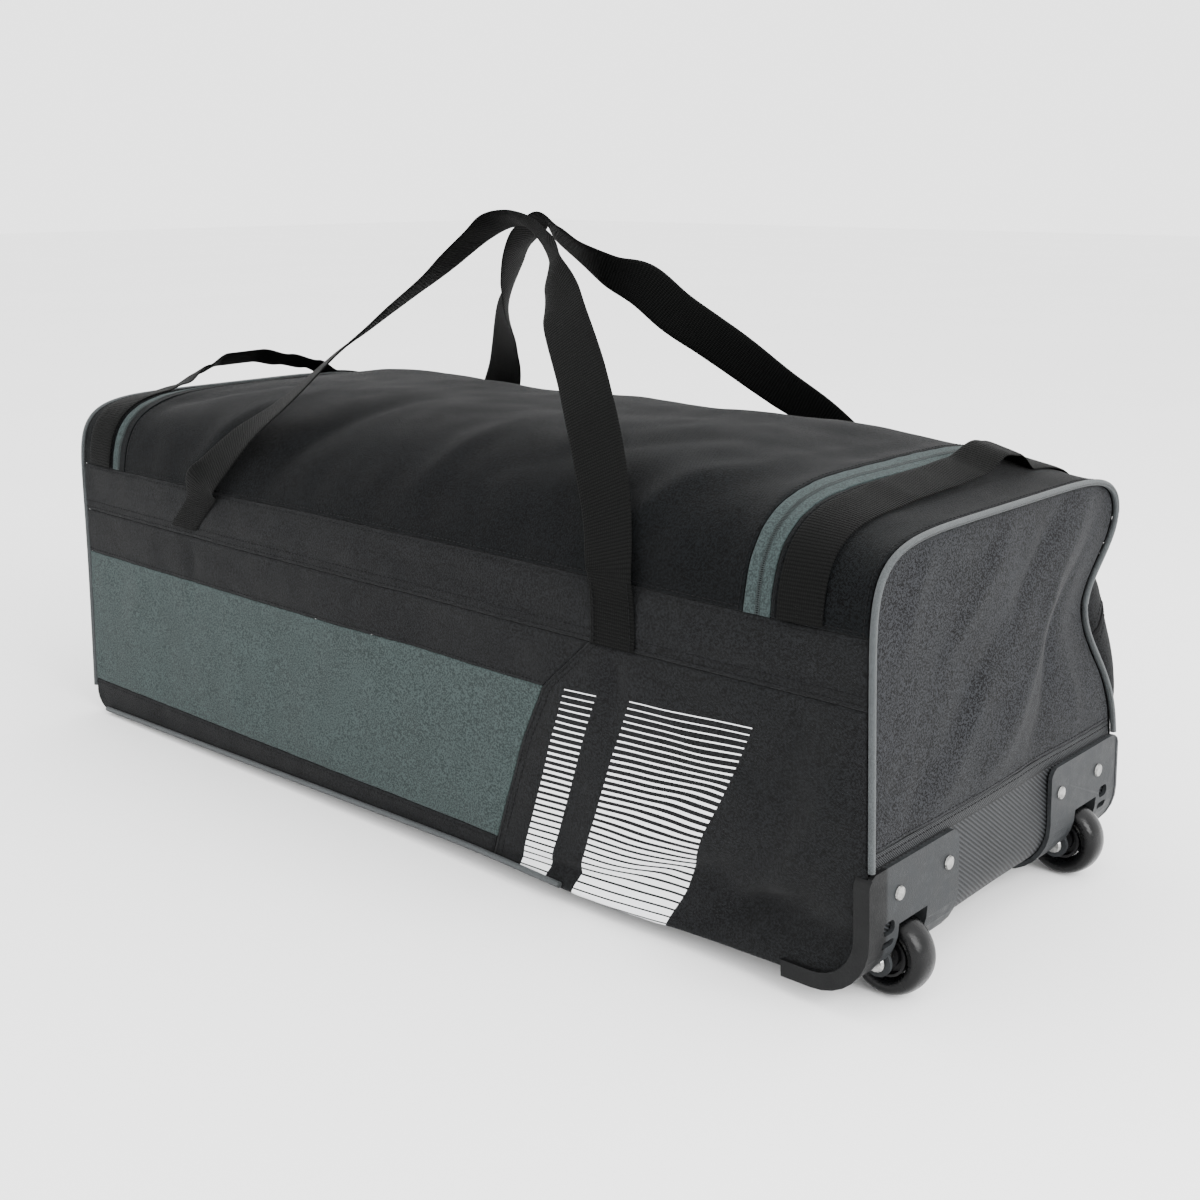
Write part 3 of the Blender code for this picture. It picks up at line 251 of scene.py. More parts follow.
# Folds and creases on each face: the place on it, the direction in degrees, the reach along and
# across, and the rise out of the cloth. Lengths are in millimetres.
MM = 0.001
Fold = namedtuple("Fold", "along high angle length width rise")
FOLDS = {
    "front": (
        (330, 60, 24, 80, 10, -4.2), (300, 85, 20, 90, 13, 3.4), (365, 95, 38, 50, 10, -1.8),
        (240, 45, 12, 60, 9, 2.4), (215, 30, 8, 60, 7, -2.6), (335, 40, 30, 70, 9, -6),
        (280, 52, 22, 60, 8, -5.2), (360, 72, 33, 70, 10, 5), (310, 118, 28, 80, 12, -3.6),
        (182, 26, 4, 50, 6, -4.5), (395, 120, 64, 70, 10, 3), (385, 165, 74, 50, 11, -1.4),
        (300, 150, -35, 70, 16, 2.6), (100, 110, 80, 60, 22, -1.4), (-80, 100, 72, 60, 26, 1.6),
        (-220, 95, 84, 60, 22, -1.3), (-350, 120, 60, 60, 18, 1.5), (-255, 170, 86, 30, 10, -3),
        (236, 178, 88, 24, 10, -2.8), (-130, 218, 4, 110, 9, 2.4), (90, 216, -3, 90, 8, -2.2),
        (320, 216, 5, 70, 8, 2.4),
    ),
    "top": (
        (250, 60, 55, 70, 16, 3.8), (180, 110, 30, 100, 20, -4), (40, 80, 70, 80, 22, 3.6),
        (-120, 70, 58, 80, 18, -4), (-230, 60, 66, 70, 16, 3.6), (-300, 110, 28, 90, 18, -3.6),
        (100, 190, 8, 140, 24, -1.8), (-140, 230, -12, 120, 24, 1.8), (300, 170, 82, 90, 12, 1.4),
        (-60, 330, 40, 90, 22, -2), (200, 340, -30, 90, 22, 1.8),
    ),
    "wheel_end": (
        (-60, 225, 42, 100, 13, 3.6), (-20, 205, 40, 110, 13, -3.8), (50, 200, 52, 90, 12, 3.6),
        (90, 190, 60, 80, 11, -3.6), (-105, 150, 70, 50, 14, -1.8), (0, 150, 48, 90, 15, 2.8),
        (110, 140, 82, 35, 10, 1.8), (-50, 265, 8, 80, 10, -1.8), (-90, 200, 48, 90, 12, -2.6),
        (-40, 170, 50, 90, 10, 2.4), (20, 230, 44, 70, 10, -2.6), (60, 150, 52, 70, 11, -2.2),
        (-110, 260, 62, 50, 9, 2),
    ),
    "far_end": (
        (-60, 200, 50, 80, 14, 2.4), (30, 170, 28, 90, 14, -2.4), (80, 100, 70, 60, 13, 2),
        (-90, 110, -30, 60, 13, -2),
    ),
    "back": (
        (-330, 110, 70, 60, 16, 2), (-380, 150, 60, 50, 14, -2), (100, 218, 4, 90, 8, 1.2),
    ),
    "pocket": (
        (250, 140, 30, 70, 14, 2), (60, 120, 65, 60, 16, -2.2), (-120, 140, -40, 70, 16, 2),
        (-220, 110, 50, 60, 14, -2),
    ),
}

# Printed stripes: the corners of each group as places along the bag and heights
STRIPE_PITCH = 0.0048
STRIPE_TILT = 0.05
STRIPE_THIN = 0.15
STRIPE_THICK = 0.84
Stripes = namedtuple("Stripes", "top_left top_right top foot_left foot_right foot")
STRIPES = (
    Stripes(0.192, 0.221, 0.160, 0.139, 0.165, 0.012),
    Stripes(0.250, 0.350, 0.164, 0.191, 0.275, 0.010),
)

# Stitches
STITCH = 0.0030
STITCH_PITCH = 0.0042
STITCH_RADIUS = 0.00035
STITCH_SIDES = 6
STITCH_FORM = ((-0.5, 0.35), (-0.3, 1.0), (0.3, 1.0), (0.5, 0.35))
STITCH_LIFT = 0.0001
SEAM_STITCH = 0.0030
SECOND_STITCH = 0.0085
STRIPED_STITCH = 0.0080
COIL_EDGE = 0.0002
CORD_SIDES = 12
WEBBING_COLUMNS = 10
HANDLE_STEPS = 272
HANDLE_STITCHED = 26
HANDLE_STITCH = 0.82

Patch = namedtuple("Patch", "points normals flat low high left right away")


# Shape of the body

def lerp(a, b, t):
    return a + (b - a) * t


def smooth(t):
    return t * t * (3 - 2 * t)


def xyz(x, y, z):
    return np.stack(np.broadcast_arrays(x, y, z), -1).astype(float)


def unit(vectors):
    return vectors / np.maximum(np.linalg.norm(vectors, axis=-1, keepdims=True), TINY)


def section_at(along):
    """The crown share and squareness at places along the bag, from -1 to 1."""
    knots, crowns, squares = (np.array(column) for column in zip(*SECTIONS))
    i = np.clip(np.searchsorted(knots, along) - 1, 0, len(knots) - 2)
    t = smooth(np.clip((along - knots[i]) / (knots[i + 1] - knots[i]), 0, 1))
    return lerp(crowns[i], crowns[i + 1], t), lerp(squares[i], squares[i + 1], t)


def base_height(x):
    return BASE_LIFT * (x + HALF_LENGTH) / BAG_LENGTH


def crown_height(x):
    return END_HEIGHT + CROWN_RISE * section_at(x / HALF_LENGTH)[0]


def leaned(x, z):
    return x - END_LEAN * (x / HALF_LENGTH) * z / END_HEIGHT


def dented(points):
    moved = points.copy()
    for d in DENTS:
        along = (points[..., 0] / HALF_LENGTH - d.along) / d.reach_along
        across = (points[..., 1] / HALF_WIDTH - d.across) / d.reach_across
        high = (points[..., 2] / END_HEIGHT - d.high) / d.reach_high
        fall = np.exp(-(along**2 + across**2 + high**2))
        moved += fall[..., None] * DENT * np.array((d.push_x, d.push_y, d.push_z))
    return moved


def swell(x, z):
    return SIDE_SWELL * np.sin(math.pi * np.minimum(1.0, z / END_HEIGHT)) * (1 - (x / HALF_LENGTH) ** 2)


def half_width_at(x, z):
    square = section_at(x / HALF_LENGTH)[1]
    rise = np.clip((z - SHOULDER_START) / (crown_height(x) - SHOULDER_START), 0, 1)
    return HALF_WIDTH * (1 - rise**square) ** (1 / square) + swell(x, z)


def on_side(x, z, side, out=0.0):
    """Points on the front (side -1) or the back (side 1), at places along the bag and heights."""
    x, z = np.broadcast_arrays(np.asarray(x, float), np.asarray(z, float))
    return dented(xyz(leaned(x, z), side * (half_width_at(x, z) + out), z))


def turn_at_height(x, z):
    square = section_at(x / HALF_LENGTH)[1]
    rise = (z - SHOULDER_START) / (crown_height(x) - SHOULDER_START)
    level = (1 - rise**square) ** (1 / square)
    return 1 - np.arctan2(rise, level) / (math.pi / 2)


def rounded_square(turn, square):
    """The cosine and sine of a turn's angle, and the reach there to a square with round corners."""
    angle = (1 - np.abs(turn)) * math.pi / 2
    cosine, sine = np.abs(np.cos(angle)), np.abs(np.sin(angle))
    return cosine, sine, (cosine**square + sine**square) ** (-1 / square)


def over_top(x, turn):
    """Points over the top: turn runs from -1, front, through the crown to 1, back."""
    x, turn = np.broadcast_arrays(np.asarray(x, float), np.asarray(turn, float))
    cosine, sine, radius = rounded_square(turn, section_at(x / HALF_LENGTH)[1])
    z = SHOULDER_START + (crown_height(x) - SHOULDER_START) * radius * sine
    y = HALF_WIDTH * radius * cosine + swell(x, z)
    return dented(xyz(leaned(x, z), np.copysign(y, turn), z))


def end_point(end, y, z):
    start = BRACKET_TOP if end > 0 else FAR_CORNER
    high = np.clip((z - start) / (END_HEIGHT - start), 0, 1)
    bulge = END_BULGE * np.sin(math.pi * high) * np.maximum(0.0, 1 - (y / HALF_WIDTH) ** 2)
    return dented(xyz(leaned(end * HALF_LENGTH, z) + end * bulge, y, z))


def rim_point(end, turn, inset):
    cosine, sine, radius = rounded_square(turn, section_at(np.array(float(end)))[1])
    top = crown_height(np.array(end * HALF_LENGTH)) - inset
    y = np.copysign((HALF_WIDTH - inset) * radius * cosine, turn)
    return np.stack((y, SHOULDER_START + (top - SHOULDER_START) * radius * sine), -1)


def edge_height(x):
    to_far, to_wheel = x + HALF_LENGTH, HALF_LENGTH - x
    far = FAR_CORNER - np.sqrt(np.maximum(0.0, FAR_CORNER**2 - (FAR_CORNER - to_far) ** 2))
    wheel = WHEEL_CORNER - np.sqrt(np.maximum(0.0, WHEEL_CORNER**2 - (WHEEL_CORNER - to_wheel) ** 2))
    return base_height(x) + np.where(to_far < FAR_CORNER, far, np.where(to_wheel < WHEEL_CORNER, wheel, 0))


def slant(z):
    high, along = (np.array(column) for column in zip(*SLANT))
    return HALF_LENGTH * np.interp((z - STRIP_TOP) / (BAND_LOW - STRIP_TOP), high, along)


# Patches of cloth

def steps(length, cell=CELL):
    """Shares from 0 to 1 along a length, closer together near both ends, where the seams are."""
    near = np.array(EDGE_STEPS)
    while len(near) > 2 and near[-1] > length * 0.4:
        near = near[:-1]
    middle = length - 2 * near[-1]
    inner = np.linspace(near[-1], length - near[-1], max(2, round(middle / cell) + 1))
    return np.concatenate((near[:-1], inner, length - near[:-1][::-1])) / length


def run_along(points, axis):
    """The distance run along rows (axis 1) or columns (axis 0) of points."""
    gaps = np.linalg.norm(np.diff(points, axis=axis), axis=-1)
    start = np.zeros_like(np.take(gaps, [0], axis=axis))
    return np.concatenate((start, np.cumsum(gaps, axis=axis)), axis=axis)


def patch(points, flat, core):
    """A patch's points, outward normals, and distances to its four edges and to the nearest."""
    across = np.gradient(points, axis=1)
    down = np.gradient(points, axis=0)
    normals = unit(np.cross(across, down))
    if np.sum(normals * (points - np.array(core))) < 0:
        normals = -normals
    u, v = run_along(points, 1), run_along(points, 0)
    edges = v, v[-1:] - v, u, u[:, -1:] - u
    away = np.minimum(np.minimum(*edges[:2]), np.minimum(*edges[2:]))
    return Patch(points, normals, flat, *edges, away)


def side_patch(side, left, right, low, high):
    """A patch on a side: left and right give x at a height, low and high give a height at x."""
    x_middle = (left(MIDDLE_HEIGHT) + right(MIDDLE_HEIGHT)) / 2
    v = steps(float(high(x_middle) - low(x_middle)))
    u = steps(float(right(MIDDLE_HEIGHT) - left(MIDDLE_HEIGHT)))
    x_left, x_right = (np.full_like(v, float(edge(MIDDLE_HEIGHT))) for edge in (left, right))
    for _ in range(4):
        x_left = left(lerp(low(x_left), high(x_left), v)) + 0 * v
        x_right = right(lerp(low(x_right), high(x_right), v)) + 0 * v
    x = lerp(x_left[:, None], x_right[:, None], u[None, :])
    z = lerp(low(x), high(x), v[:, None])
    points = on_side(x, z, side)
    return patch(points, np.stack((x, z + 0 * x), -1), (0, 0, points[..., 2].mean()))


def top_patch(x_from, x_to, back_height=BAND_HIGH):
    """A patch over the top between two places along the bag, from seam to seam."""
    u = steps(x_to - x_from)
    x = lerp(x_from, x_to, u)[None, :]
    front = -turn_at_height(x, BAND_HIGH + JOIN)
    back = turn_at_height(x, back_height + JOIN)
    turn = np.linspace(front.mean(), back.mean(), PROFILE_STEPS)
    dense = over_top(np.full(PROFILE_STEPS, (x_from + x_to) / 2), turn)
    run = run_along(dense, 0)
    v = np.interp(steps(run[-1]) * run[-1], run, np.linspace(0, 1, PROFILE_STEPS))
    points = over_top(x + 0 * v[:, None], lerp(front, back, v[:, None]))
    around = run_along(points, 0)
    return patch(points, np.stack((x + 0 * around, around), -1), (x.mean(), 0, CORE_HEIGHT))


def end_patch(end, low):
    """A patch over an end from a height to its rounded top, filled in between its four edges."""
    reach = HALF_WIDTH - END_INSET
    side = np.concatenate((
        np.stack((np.full(40, reach), np.linspace(low, SHOULDER_START, 41)[:-1]), -1),
        rim_point(end, np.linspace(1, END_CORNER, 60), END_INSET)))
    top = rim_point(end, np.linspace(-END_CORNER, END_CORNER, 120), END_INSET)
    side_run, top_run = run_along(side, 0), run_along(top, 0)
    v = steps(side_run[-1])
    u = steps(2 * reach)
    side = np.stack([np.interp(v * side_run[-1], side_run, side[:, k]) for k in (0, 1)], -1)
    top = np.stack([np.interp(u * top_run[-1], top_run, top[:, k]) for k in (0, 1)], -1)
    across = (2 * u - 1)[None, :]
    y = across * (side[:, :1] - v[:, None] * side[-1, 0]) + v[:, None] * top[None, :, 0]
    z = side[:, 1:] + v[:, None] * (top[None, :, 1] - side[-1, 1])
    points = end_point(end, y, z)
    return patch(points, np.stack((y, z), -1), (0, 0, CORE_HEIGHT))


def corner_patch(end, radius, run, top):
    """A patch from the base round an end's lower corner and up to a height on the end."""
    reach = HALF_WIDTH - END_INSET
    x = np.linspace(HALF_LENGTH - run, HALF_LENGTH - radius, 20)
    angle = np.linspace(0, math.pi / 2, 30)[1:]
    line = [xyz(end * x, 0.0, base_height(end * x))]
    x = HALF_LENGTH - radius * (1 - np.sin(angle))
    line.append(xyz(end * x, 0.0, base_height(end * x) + radius * (1 - np.cos(angle))))
    z = np.linspace(line[-1][-1, 2], top, 16)[1:]
    line.append(xyz(end * HALF_LENGTH, 0.0, z))
    line = np.concatenate(line)
    length = run_along(line, 0)
    v = steps(length[-1])
    line = np.stack([np.interp(v * length[-1], length, line[:, k]) for k in range(3)], -1)
    y = lerp(-reach, reach, steps(2 * reach))[None, :]
    x, z = line[:, :1], line[:, 2:]
    points = dented(xyz(leaned(x, z), y, z))
    high = z > base_height(end * HALF_LENGTH) + radius
    points = np.where(high[..., None], end_point(end, y + 0 * z, z + 0 * y), points)
    around = v[:, None] * length[-1] + 0 * y
    return patch(points, np.stack((y + 0 * around, around), -1), (end * (HALF_LENGTH - run), 0, run))


def cloud(points, size, seed):
    """Soft noise from about -1 to 1 at each point."""
    shifted = points.reshape(-1, 3) / size + seed
    return np.array([noise.noise(Vector(p)) for p in shifted]).reshape(points.shape[:-1])


def fold_relief(face, flat):
    rise = np.zeros(flat.shape[:-1])
    for f in (Fold(*row) for row in FOLDS.get(face, ())):
        a, b = flat[..., 0] - f.along * MM, flat[..., 1] - f.high * MM
        turn = math.radians(f.angle)
        along = (a * math.cos(turn) + b * math.sin(turn)) / (f.length * MM)
        across = (b * math.cos(turn) - a * math.sin(turn)) / (f.width * MM)
        rise += f.rise * MM * np.exp(-(along**2)) * np.exp(-(np.abs(across) ** FOLD_CREST))
    return rise


def dressed(cloth, face, wave=1.0, pucker=1.0, roll=1.0):
    """The patch with its folds, waves, and the rolled and puckered edges of sewn cloth."""
    free = smooth(np.clip(cloth.away / FREE_FROM_SEAM, 0, 1))
    rise = fold_relief(face, cloth.flat) * lerp(FOLD_AT_SEAM, 1.0, free)
    rise += WAVE * wave * cloud(cloth.points, WAVE_SIZE, WAVE_SEED) * free
    ripples = cloud(cloth.points, RIPPLE_SIZE, RIPPLE_SEED)
    rise += RIPPLE * wave * ripples * lerp(RIPPLE_AT_SEAM, 1.0, free)
    gathers = cloud(cloth.points, PUCKER_PITCH, PUCKER_SEED)
    rise += PUCKER * pucker * gathers * np.exp(-cloth.away / PUCKER_FADE)
    rise -= EDGE_ROLL * roll * (1 - np.clip(cloth.away / EDGE_ROLL_WIDTH, 0, 1)) ** 2
    return cloth._replace(points=cloth.points + cloth.normals * rise[..., None])


# Meshes

def add_mesh(name, points, faces, finish, slot, nodes=(), body="bag", flat=None, edge=None):
    """An object from points in the bag's frame, which rides on a body in place of CAD nodes."""
    mesh = bpy.data.meshes.new(name)
    mesh.from_pydata((np.asarray(points) + ORIGIN_SHIFT).tolist(), [], faces)
    if flat is not None:
        layer = mesh.uv_layers.new(name="flat")
        corners = np.zeros(len(mesh.loops), int)
        mesh.loops.foreach_get("vertex_index", corners)
        layer.data.foreach_set("uv", np.asarray(flat)[corners].astype(np.float32).ravel())
    if edge is not None:
        mesh.attributes.new("edge", "FLOAT", "POINT").data.foreach_set("value", edge.astype(np.float32))
    mesh.shade_smooth()
    made = bpy.data.objects.new(name, mesh)
    bpy.context.scene.collection.objects.link(made)
    mesh.materials.append(finish)
    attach(made, body)
    if nodes:
        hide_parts(*nodes)
    return made


def tube_faces(rows, sides, first=0):
    """The faces of a closed tube of rings of points, from the point numbered first."""
    faces = []
    for row in range(rows - 1):
        for k in range(sides):
            a, b = first + row * sides + k, first + row * sides + (k + 1) % sides
            faces.append((a, b, b + sides, a + sides))
    faces.append(tuple(first + k for k in reversed(range(sides))))
    faces.append(tuple(first + (rows - 1) * sides + k for k in range(sides)))
    return faces


def grid_faces(rows, columns, flip=False):
    index = np.arange(rows * columns).reshape(rows, columns)
    quads = np.stack((index[:-1, :-1], index[:-1, 1:], index[1:, 1:], index[1:, :-1]), -1)
    quads = quads.reshape(-1, 4)
    return (quads[:, ::-1] if flip else quads).tolist()


def add_cloth(name, cloth, finish, slot, nodes, wall=WALL):
    """A patch of cloth as a piece with a wall inwards, in place of CAD nodes."""
    rows, columns = cloth.points.shape[:2]
    middle = np.cross(np.gradient(cloth.points, axis=1), np.gradient(cloth.points, axis=0))
    flip = np.sum(middle * cloth.normals) < 0
    made = add_mesh(
        name, cloth.points.reshape(-1, 3), grid_faces(rows, columns, flip), finish, slot, nodes,
        flat=cloth.flat.reshape(-1, 2), edge=cloth.away.ravel())
    thick = made.modifiers.new("wall", "SOLIDIFY")
    thick.thickness = wall
    thick.offset = -1
    return made


def line_at(cloth, edge, offset=SEAM_STITCH, lift=STITCH_LIFT):
    """Points and normals on a patch along one of its edges, at an offset from it."""
    run = getattr(cloth, edge)
    along = 0 if edge in ("low", "high") else 1
    data = np.concatenate((cloth.points, cloth.normals), -1)
    if along == 1:
        run, data = run.T, data.transpose(1, 0, 2)
    if edge in ("high", "right"):
        run, data = run[::-1], data[::-1]
    found = np.stack([
        [np.interp(offset, run[:, j], data[:, j, k]) for k in range(6)] for j in range(run.shape[1])])
    return found[:, :3] + found[:, 3:] * lift, unit(found[:, 3:])


def resampled(points, pitch, *others):
    """Points (and more arrays) read at an even pitch along their line."""
    run = run_along(points, 0)
    places = np.arange(pitch / 2, run[-1], pitch)
    return [np.stack([np.interp(places, run, a[:, k]) for k in range(a.shape[1])], -1)
            for a in (points, *others)]


def add_stitches(name, lines, finish, slot="black_cloth", size=STITCH, pitch=STITCH_PITCH,
                 radius=STITCH_RADIUS, crosswise=False):
    """Rows of stitches, each a small spindle that lies on the cloth."""
    points, faces = [], []
    for line, normals in lines:
        spots, ups = resampled(line, pitch, normals)
        along = unit(np.gradient(spots, axis=0))
        ups = unit(ups)
        beside = unit(np.cross(ups, along))
        if crosswise:
            along, beside = beside, along
        for spot, way, side, up in zip(spots, along, beside, ups):
            first = len(points)
            for step, share in STITCH_FORM:
                for turn in range(STITCH_SIDES):
                    angle = turn * 2 * math.pi / STITCH_SIDES
                    ring = side * math.cos(angle) + up * math.sin(angle)
                    points.append(spot + way * size * step + ring * radius * share)
            faces += tube_faces(len(STITCH_FORM), STITCH_SIDES, first)
    add_mesh(name, points, faces, finish, slot)


def add_tube(name, line, radius, finish, slot, nodes):
    """A round cord along a line of points."""
    along = unit(np.gradient(line, axis=0))
    reference = np.array((0.0, 0.0, 1.0))
    beside = unit(np.cross(along, reference) + along[:, ::-1] * 1e-6)
    up = unit(np.cross(beside, along))
    run = run_along(line, 0)
    points, flat = [], []
    for i in range(len(line)):
        for k in range(CORD_SIDES):
            angle = 2 * math.pi * k / CORD_SIDES
            points.append(line[i] + radius * (beside[i] * math.cos(angle) + up[i] * math.sin(angle)))
            flat.append((radius * angle, run[i]))
    add_mesh(name, points, tube_faces(len(line), CORD_SIDES), finish, slot, nodes, flat=flat)


def add_webbing(name, centres, wides, halves, nodes, squared=True):
    """Flat webbing with rounded edges along a line of centres, with its width along wides."""
    along = unit(np.gradient(centres, axis=0))
    if squared:
        wides = unit(wides - along * np.sum(wides * along, -1, keepdims=True))
    up = unit(np.cross(along, wides))
    run = run_along(centres, 0)
    columns = np.arange(WEBBING_COLUMNS)
    share = np.sin(np.linspace(-1, 1, WEBBING_COLUMNS) * math.pi / 2)
    half_thick = WEBBING_THICK / 2 * (1 - np.abs(share) ** 6) ** 0.5
    around = np.concatenate((columns, columns[-2:0:-1]))
    sign = np.concatenate((np.ones(WEBBING_COLUMNS), -np.ones(WEBBING_COLUMNS - 2)))
    halves = np.broadcast_to(halves, run.shape)
    across = share[around][None, :, None] * halves[:, None, None]
    lift = (sign * half_thick[around])[None, :, None]
    points = centres[:, None] + wides[:, None] * across + up[:, None] * lift
    rows, ring = points.shape[:2]
    flat = np.stack((across[..., 0] + 0 * run[:, None], run[:, None] + 0 * across[..., 0]), -1)
    add_mesh(name, points.reshape(-1, 3), tube_faces(rows, ring), webbing, "black_webbing", nodes,
             flat=flat.reshape(-1, 2))


# Materials

CLOTH_ROUGHNESS = 0.85
PRINT_WHITE = (0.80, 0.81, 0.82)
RIB = 0.0027
RIB_ANGLE = -36.0
FINE_RIB = 0.0019
WEBBING_RIB = 0.0024
WEBBING_THREAD = 0.0016
CORD_THREAD = 0.0013
# Width and colour of the bracket's darkened outer sides: partly a black binding there, partly painted shade
# on those side faces.
SIDE_EDGE = 0.004
SIDE_BLACK_AND_PAINTED_SHADE = (0.0030, 0.0032, 0.0034)


class Finish:
    """A material with one Principled shader, and short calls that add nodes to it."""

    def __init__(self, name, roughness=0.8, metallic=0.0, sheen=0.0, specular=0.4):
        self.material = bpy.data.materials.new(name)
        self.material.use_nodes = True
        self.tree = self.material.node_tree
        self.shader = self.tree.nodes["Principled BSDF"]
        for socket, value in (("Roughness", roughness), ("Metallic", metallic), ("Sheen Weight", sheen),
                              ("Sheen Roughness", 0.4), ("Specular IOR Level", specular)):
            self.shader.inputs[socket].default_value = value

    def plug(self, socket, value):
        if isinstance(value, bpy.types.NodeSocket):
            self.tree.links.new(value, socket)
        elif isinstance(value, tuple) and len(value) == 3 and len(socket.default_value) == 4:
            socket.default_value = (*value, 1)
        else:
            socket.default_value = value

    def node(self, kind, output=0, inputs=(), **settings):
        made = self.tree.nodes.new(kind)
        for key, value in settings.items():
            setattr(made, key, value)
        for key, value in dict(inputs).items():
            self.plug(made.inputs[key], value)
        return made.outputs[output]

    def math(self, operation, a, b=0.0):
        return self.node("ShaderNodeMath", inputs={0: a, 1: b}, operation=operation)

    def add(self, *values):
        total = values[0]
        for value in values[1:]:
            total = self.math("ADD", total, value)
        return total

    def scaled(self, value, factor):
        return self.math("MULTIPLY", value, factor)

    def wave(self, value, pitch):
        return self.math("SINE", self.scaled(value, 2 * math.pi / pitch))

    def flat(self):
        """The cloth's own flat coordinates, in metres."""
        place = self.node("ShaderNodeUVMap", uv_map="flat")
        split = self.tree.nodes.new("ShaderNodeSeparateXYZ")
        self.tree.links.new(place, split.inputs[0])
        return split.outputs[0], split.outputs[1]

    def place(self):
        return self.node("ShaderNodeTexCoord", output="Object")

    def speckle(self, size, detail=2.0, seed=0.0, coords=None):
        """Noise from 0 to 1 with grains of about this size, in metres."""
        where = self.place() if coords is None else coords
        moved = self.node("ShaderNodeVectorMath", operation="ADD", inputs={0: where, 1: (seed, seed, seed)})
        return self.node("ShaderNodeTexNoise", inputs={"Vector": moved, "Scale": 1 / size, "Detail": detail})

    def between(self, value, low, high, to_low=0.0, to_high=1.0, kind="LINEAR"):
        return self.node("ShaderNodeMapRange", interpolation_type=kind, inputs={
            "Value": value, "From Min": low, "From Max": high, "To Min": to_low, "To Max": to_high})

    def mixed(self, factor, a, b):
        mix = self.tree.nodes.new("ShaderNodeMix")
        mix.data_type = "RGBA"
        self.plug(mix.inputs["Factor"], factor)
        self.plug(mix.inputs[6], a)
        self.plug(mix.inputs[7], b)
        return mix.outputs[2]

    def edge(self):
        """The distance to the nearest seam, in metres."""
        return self.node("ShaderNodeAttribute", output="Fac", attribute_name="edge")

    def finished(self, colour, height=None, depth=0.0004, roughness=None):
        self.plug(self.shader.inputs["Base Color"], colour)
        if roughness is not None:
            self.plug(self.shader.inputs["Roughness"], roughness)
        if height is not None:
            bump = self.node("ShaderNodeBump", output="Normal", inputs={
                "Height": height, "Distance": depth, "Strength": 1.0})
            self.plug(self.shader.inputs["Normal"], bump)
        return self.material


def shaded(colour, factor):
    return tuple(c * factor for c in colour)


def cloth_finish(name, colour, weave=0.0013, contrast=0.85, specular=0.12, print_on=None):
    """Plain woven cloth: crossed threads, a heathered yarn, soft wear along the seams."""
    f = Finish(name, CLOTH_ROUGHNESS, sheen=0.03, specular=specular)
    u, v = f.flat()
    threads = f.between(f.scaled(f.wave(u, weave), f.wave(v, weave)), -1, 1)
    yarn = f.speckle(0.0012, 1.0)
    slub = f.speckle(0.0030, 2.0, 4.0)
    dust = f.speckle(0.045, 4.0, 9.0)
    grain = f.add(f.scaled(yarn, 0.74), f.scaled(slub, 0.14), f.scaled(dust, 0.12))
    tone = f.between(grain, 0.42, 0.58)
    base = f.mixed(tone, shaded(colour, 1 - contrast), shaded(colour, 1 + contrast))
    wear = f.between(f.add(f.edge(), f.scaled(f.speckle(0.006, 2.0, 2.0), 0.004)), 0.002, 0.0065, 0.12, 0.0)
    base = f.mixed(wear, base, shaded(colour, 2.2))
    if print_on:
        base = print_on(f, u, v, base)
    height = f.add(f.scaled(threads, 0.5), f.scaled(yarn, 0.8))
    rough = f.between(dust, 0.3, 0.7, CLOTH_ROUGHNESS - 0.06, CLOTH_ROUGHNESS + 0.06)
    return f.finished(base, height, depth=0.0005, roughness=rough)


def stripes(f, u, v, base):
    """White printed stripes that thicken towards the base, in slanted groups."""
    total = 0.0
    for group in STRIPES:
        level = f.math("SUBTRACT", v, f.scaled(f.math("SUBTRACT", u, group.top_left), STRIPE_TILT))
        down = f.between(level, group.top, group.foot)
        left = f.between(down, 0, 1, group.top_left, group.foot_left)
        right = f.between(down, 0, 1, group.top_right, group.foot_right)
        place = f.math("FRACT", f.scaled(f.math("SUBTRACT", group.top, level), 1 / STRIPE_PITCH))
        thick = f.between(down, 0, 1, STRIPE_THIN, STRIPE_THICK)
        inside = f.math("LESS_THAN", place, thick)
        inside = f.scaled(inside, f.math("GREATER_THAN", u, left))
        inside = f.scaled(inside, f.math("LESS_THAN", u, right))
        inside = f.scaled(inside, f.math("LESS_THAN", level, group.top))
        total = f.math("ADD", total, inside)
    print_wear = f.between(f.speckle(0.0012, 2.0, 6.0), 0.25, 0.40, 0.90, 1.0)
    return f.mixed(f.scaled(total, print_wear), base, PRINT_WHITE)


def webbing_finish(name, colour):
    """Webbing with ribs across its width and a tight edge."""
    f = Finish(name, 0.70, sheen=0.0, specular=0.06)
    u, v = f.flat()
    ribs = f.math("ABSOLUTE", f.wave(v, 2 * WEBBING_RIB))
    threads = f.wave(u, WEBBING_THREAD)
    yarn = f.speckle(0.0008, 2.0)
    height = f.add(ribs, f.scaled(f.scaled(threads, ribs), 0.25), f.scaled(yarn, 0.3))
    tone = f.between(f.add(f.scaled(ribs, 0.5), f.scaled(yarn, 0.5)), 0.2, 0.8)
    base = f.mixed(tone, shaded(colour, 0.45), shaded(colour, 1.7))
    edge_wear = f.between(f.math("ABSOLUTE", u), 0.0165, 0.0190, 0.0, 0.25)
    base = f.mixed(edge_wear, base, shaded(colour, 2.4))
    return f.finished(base, height, depth=0.0007)


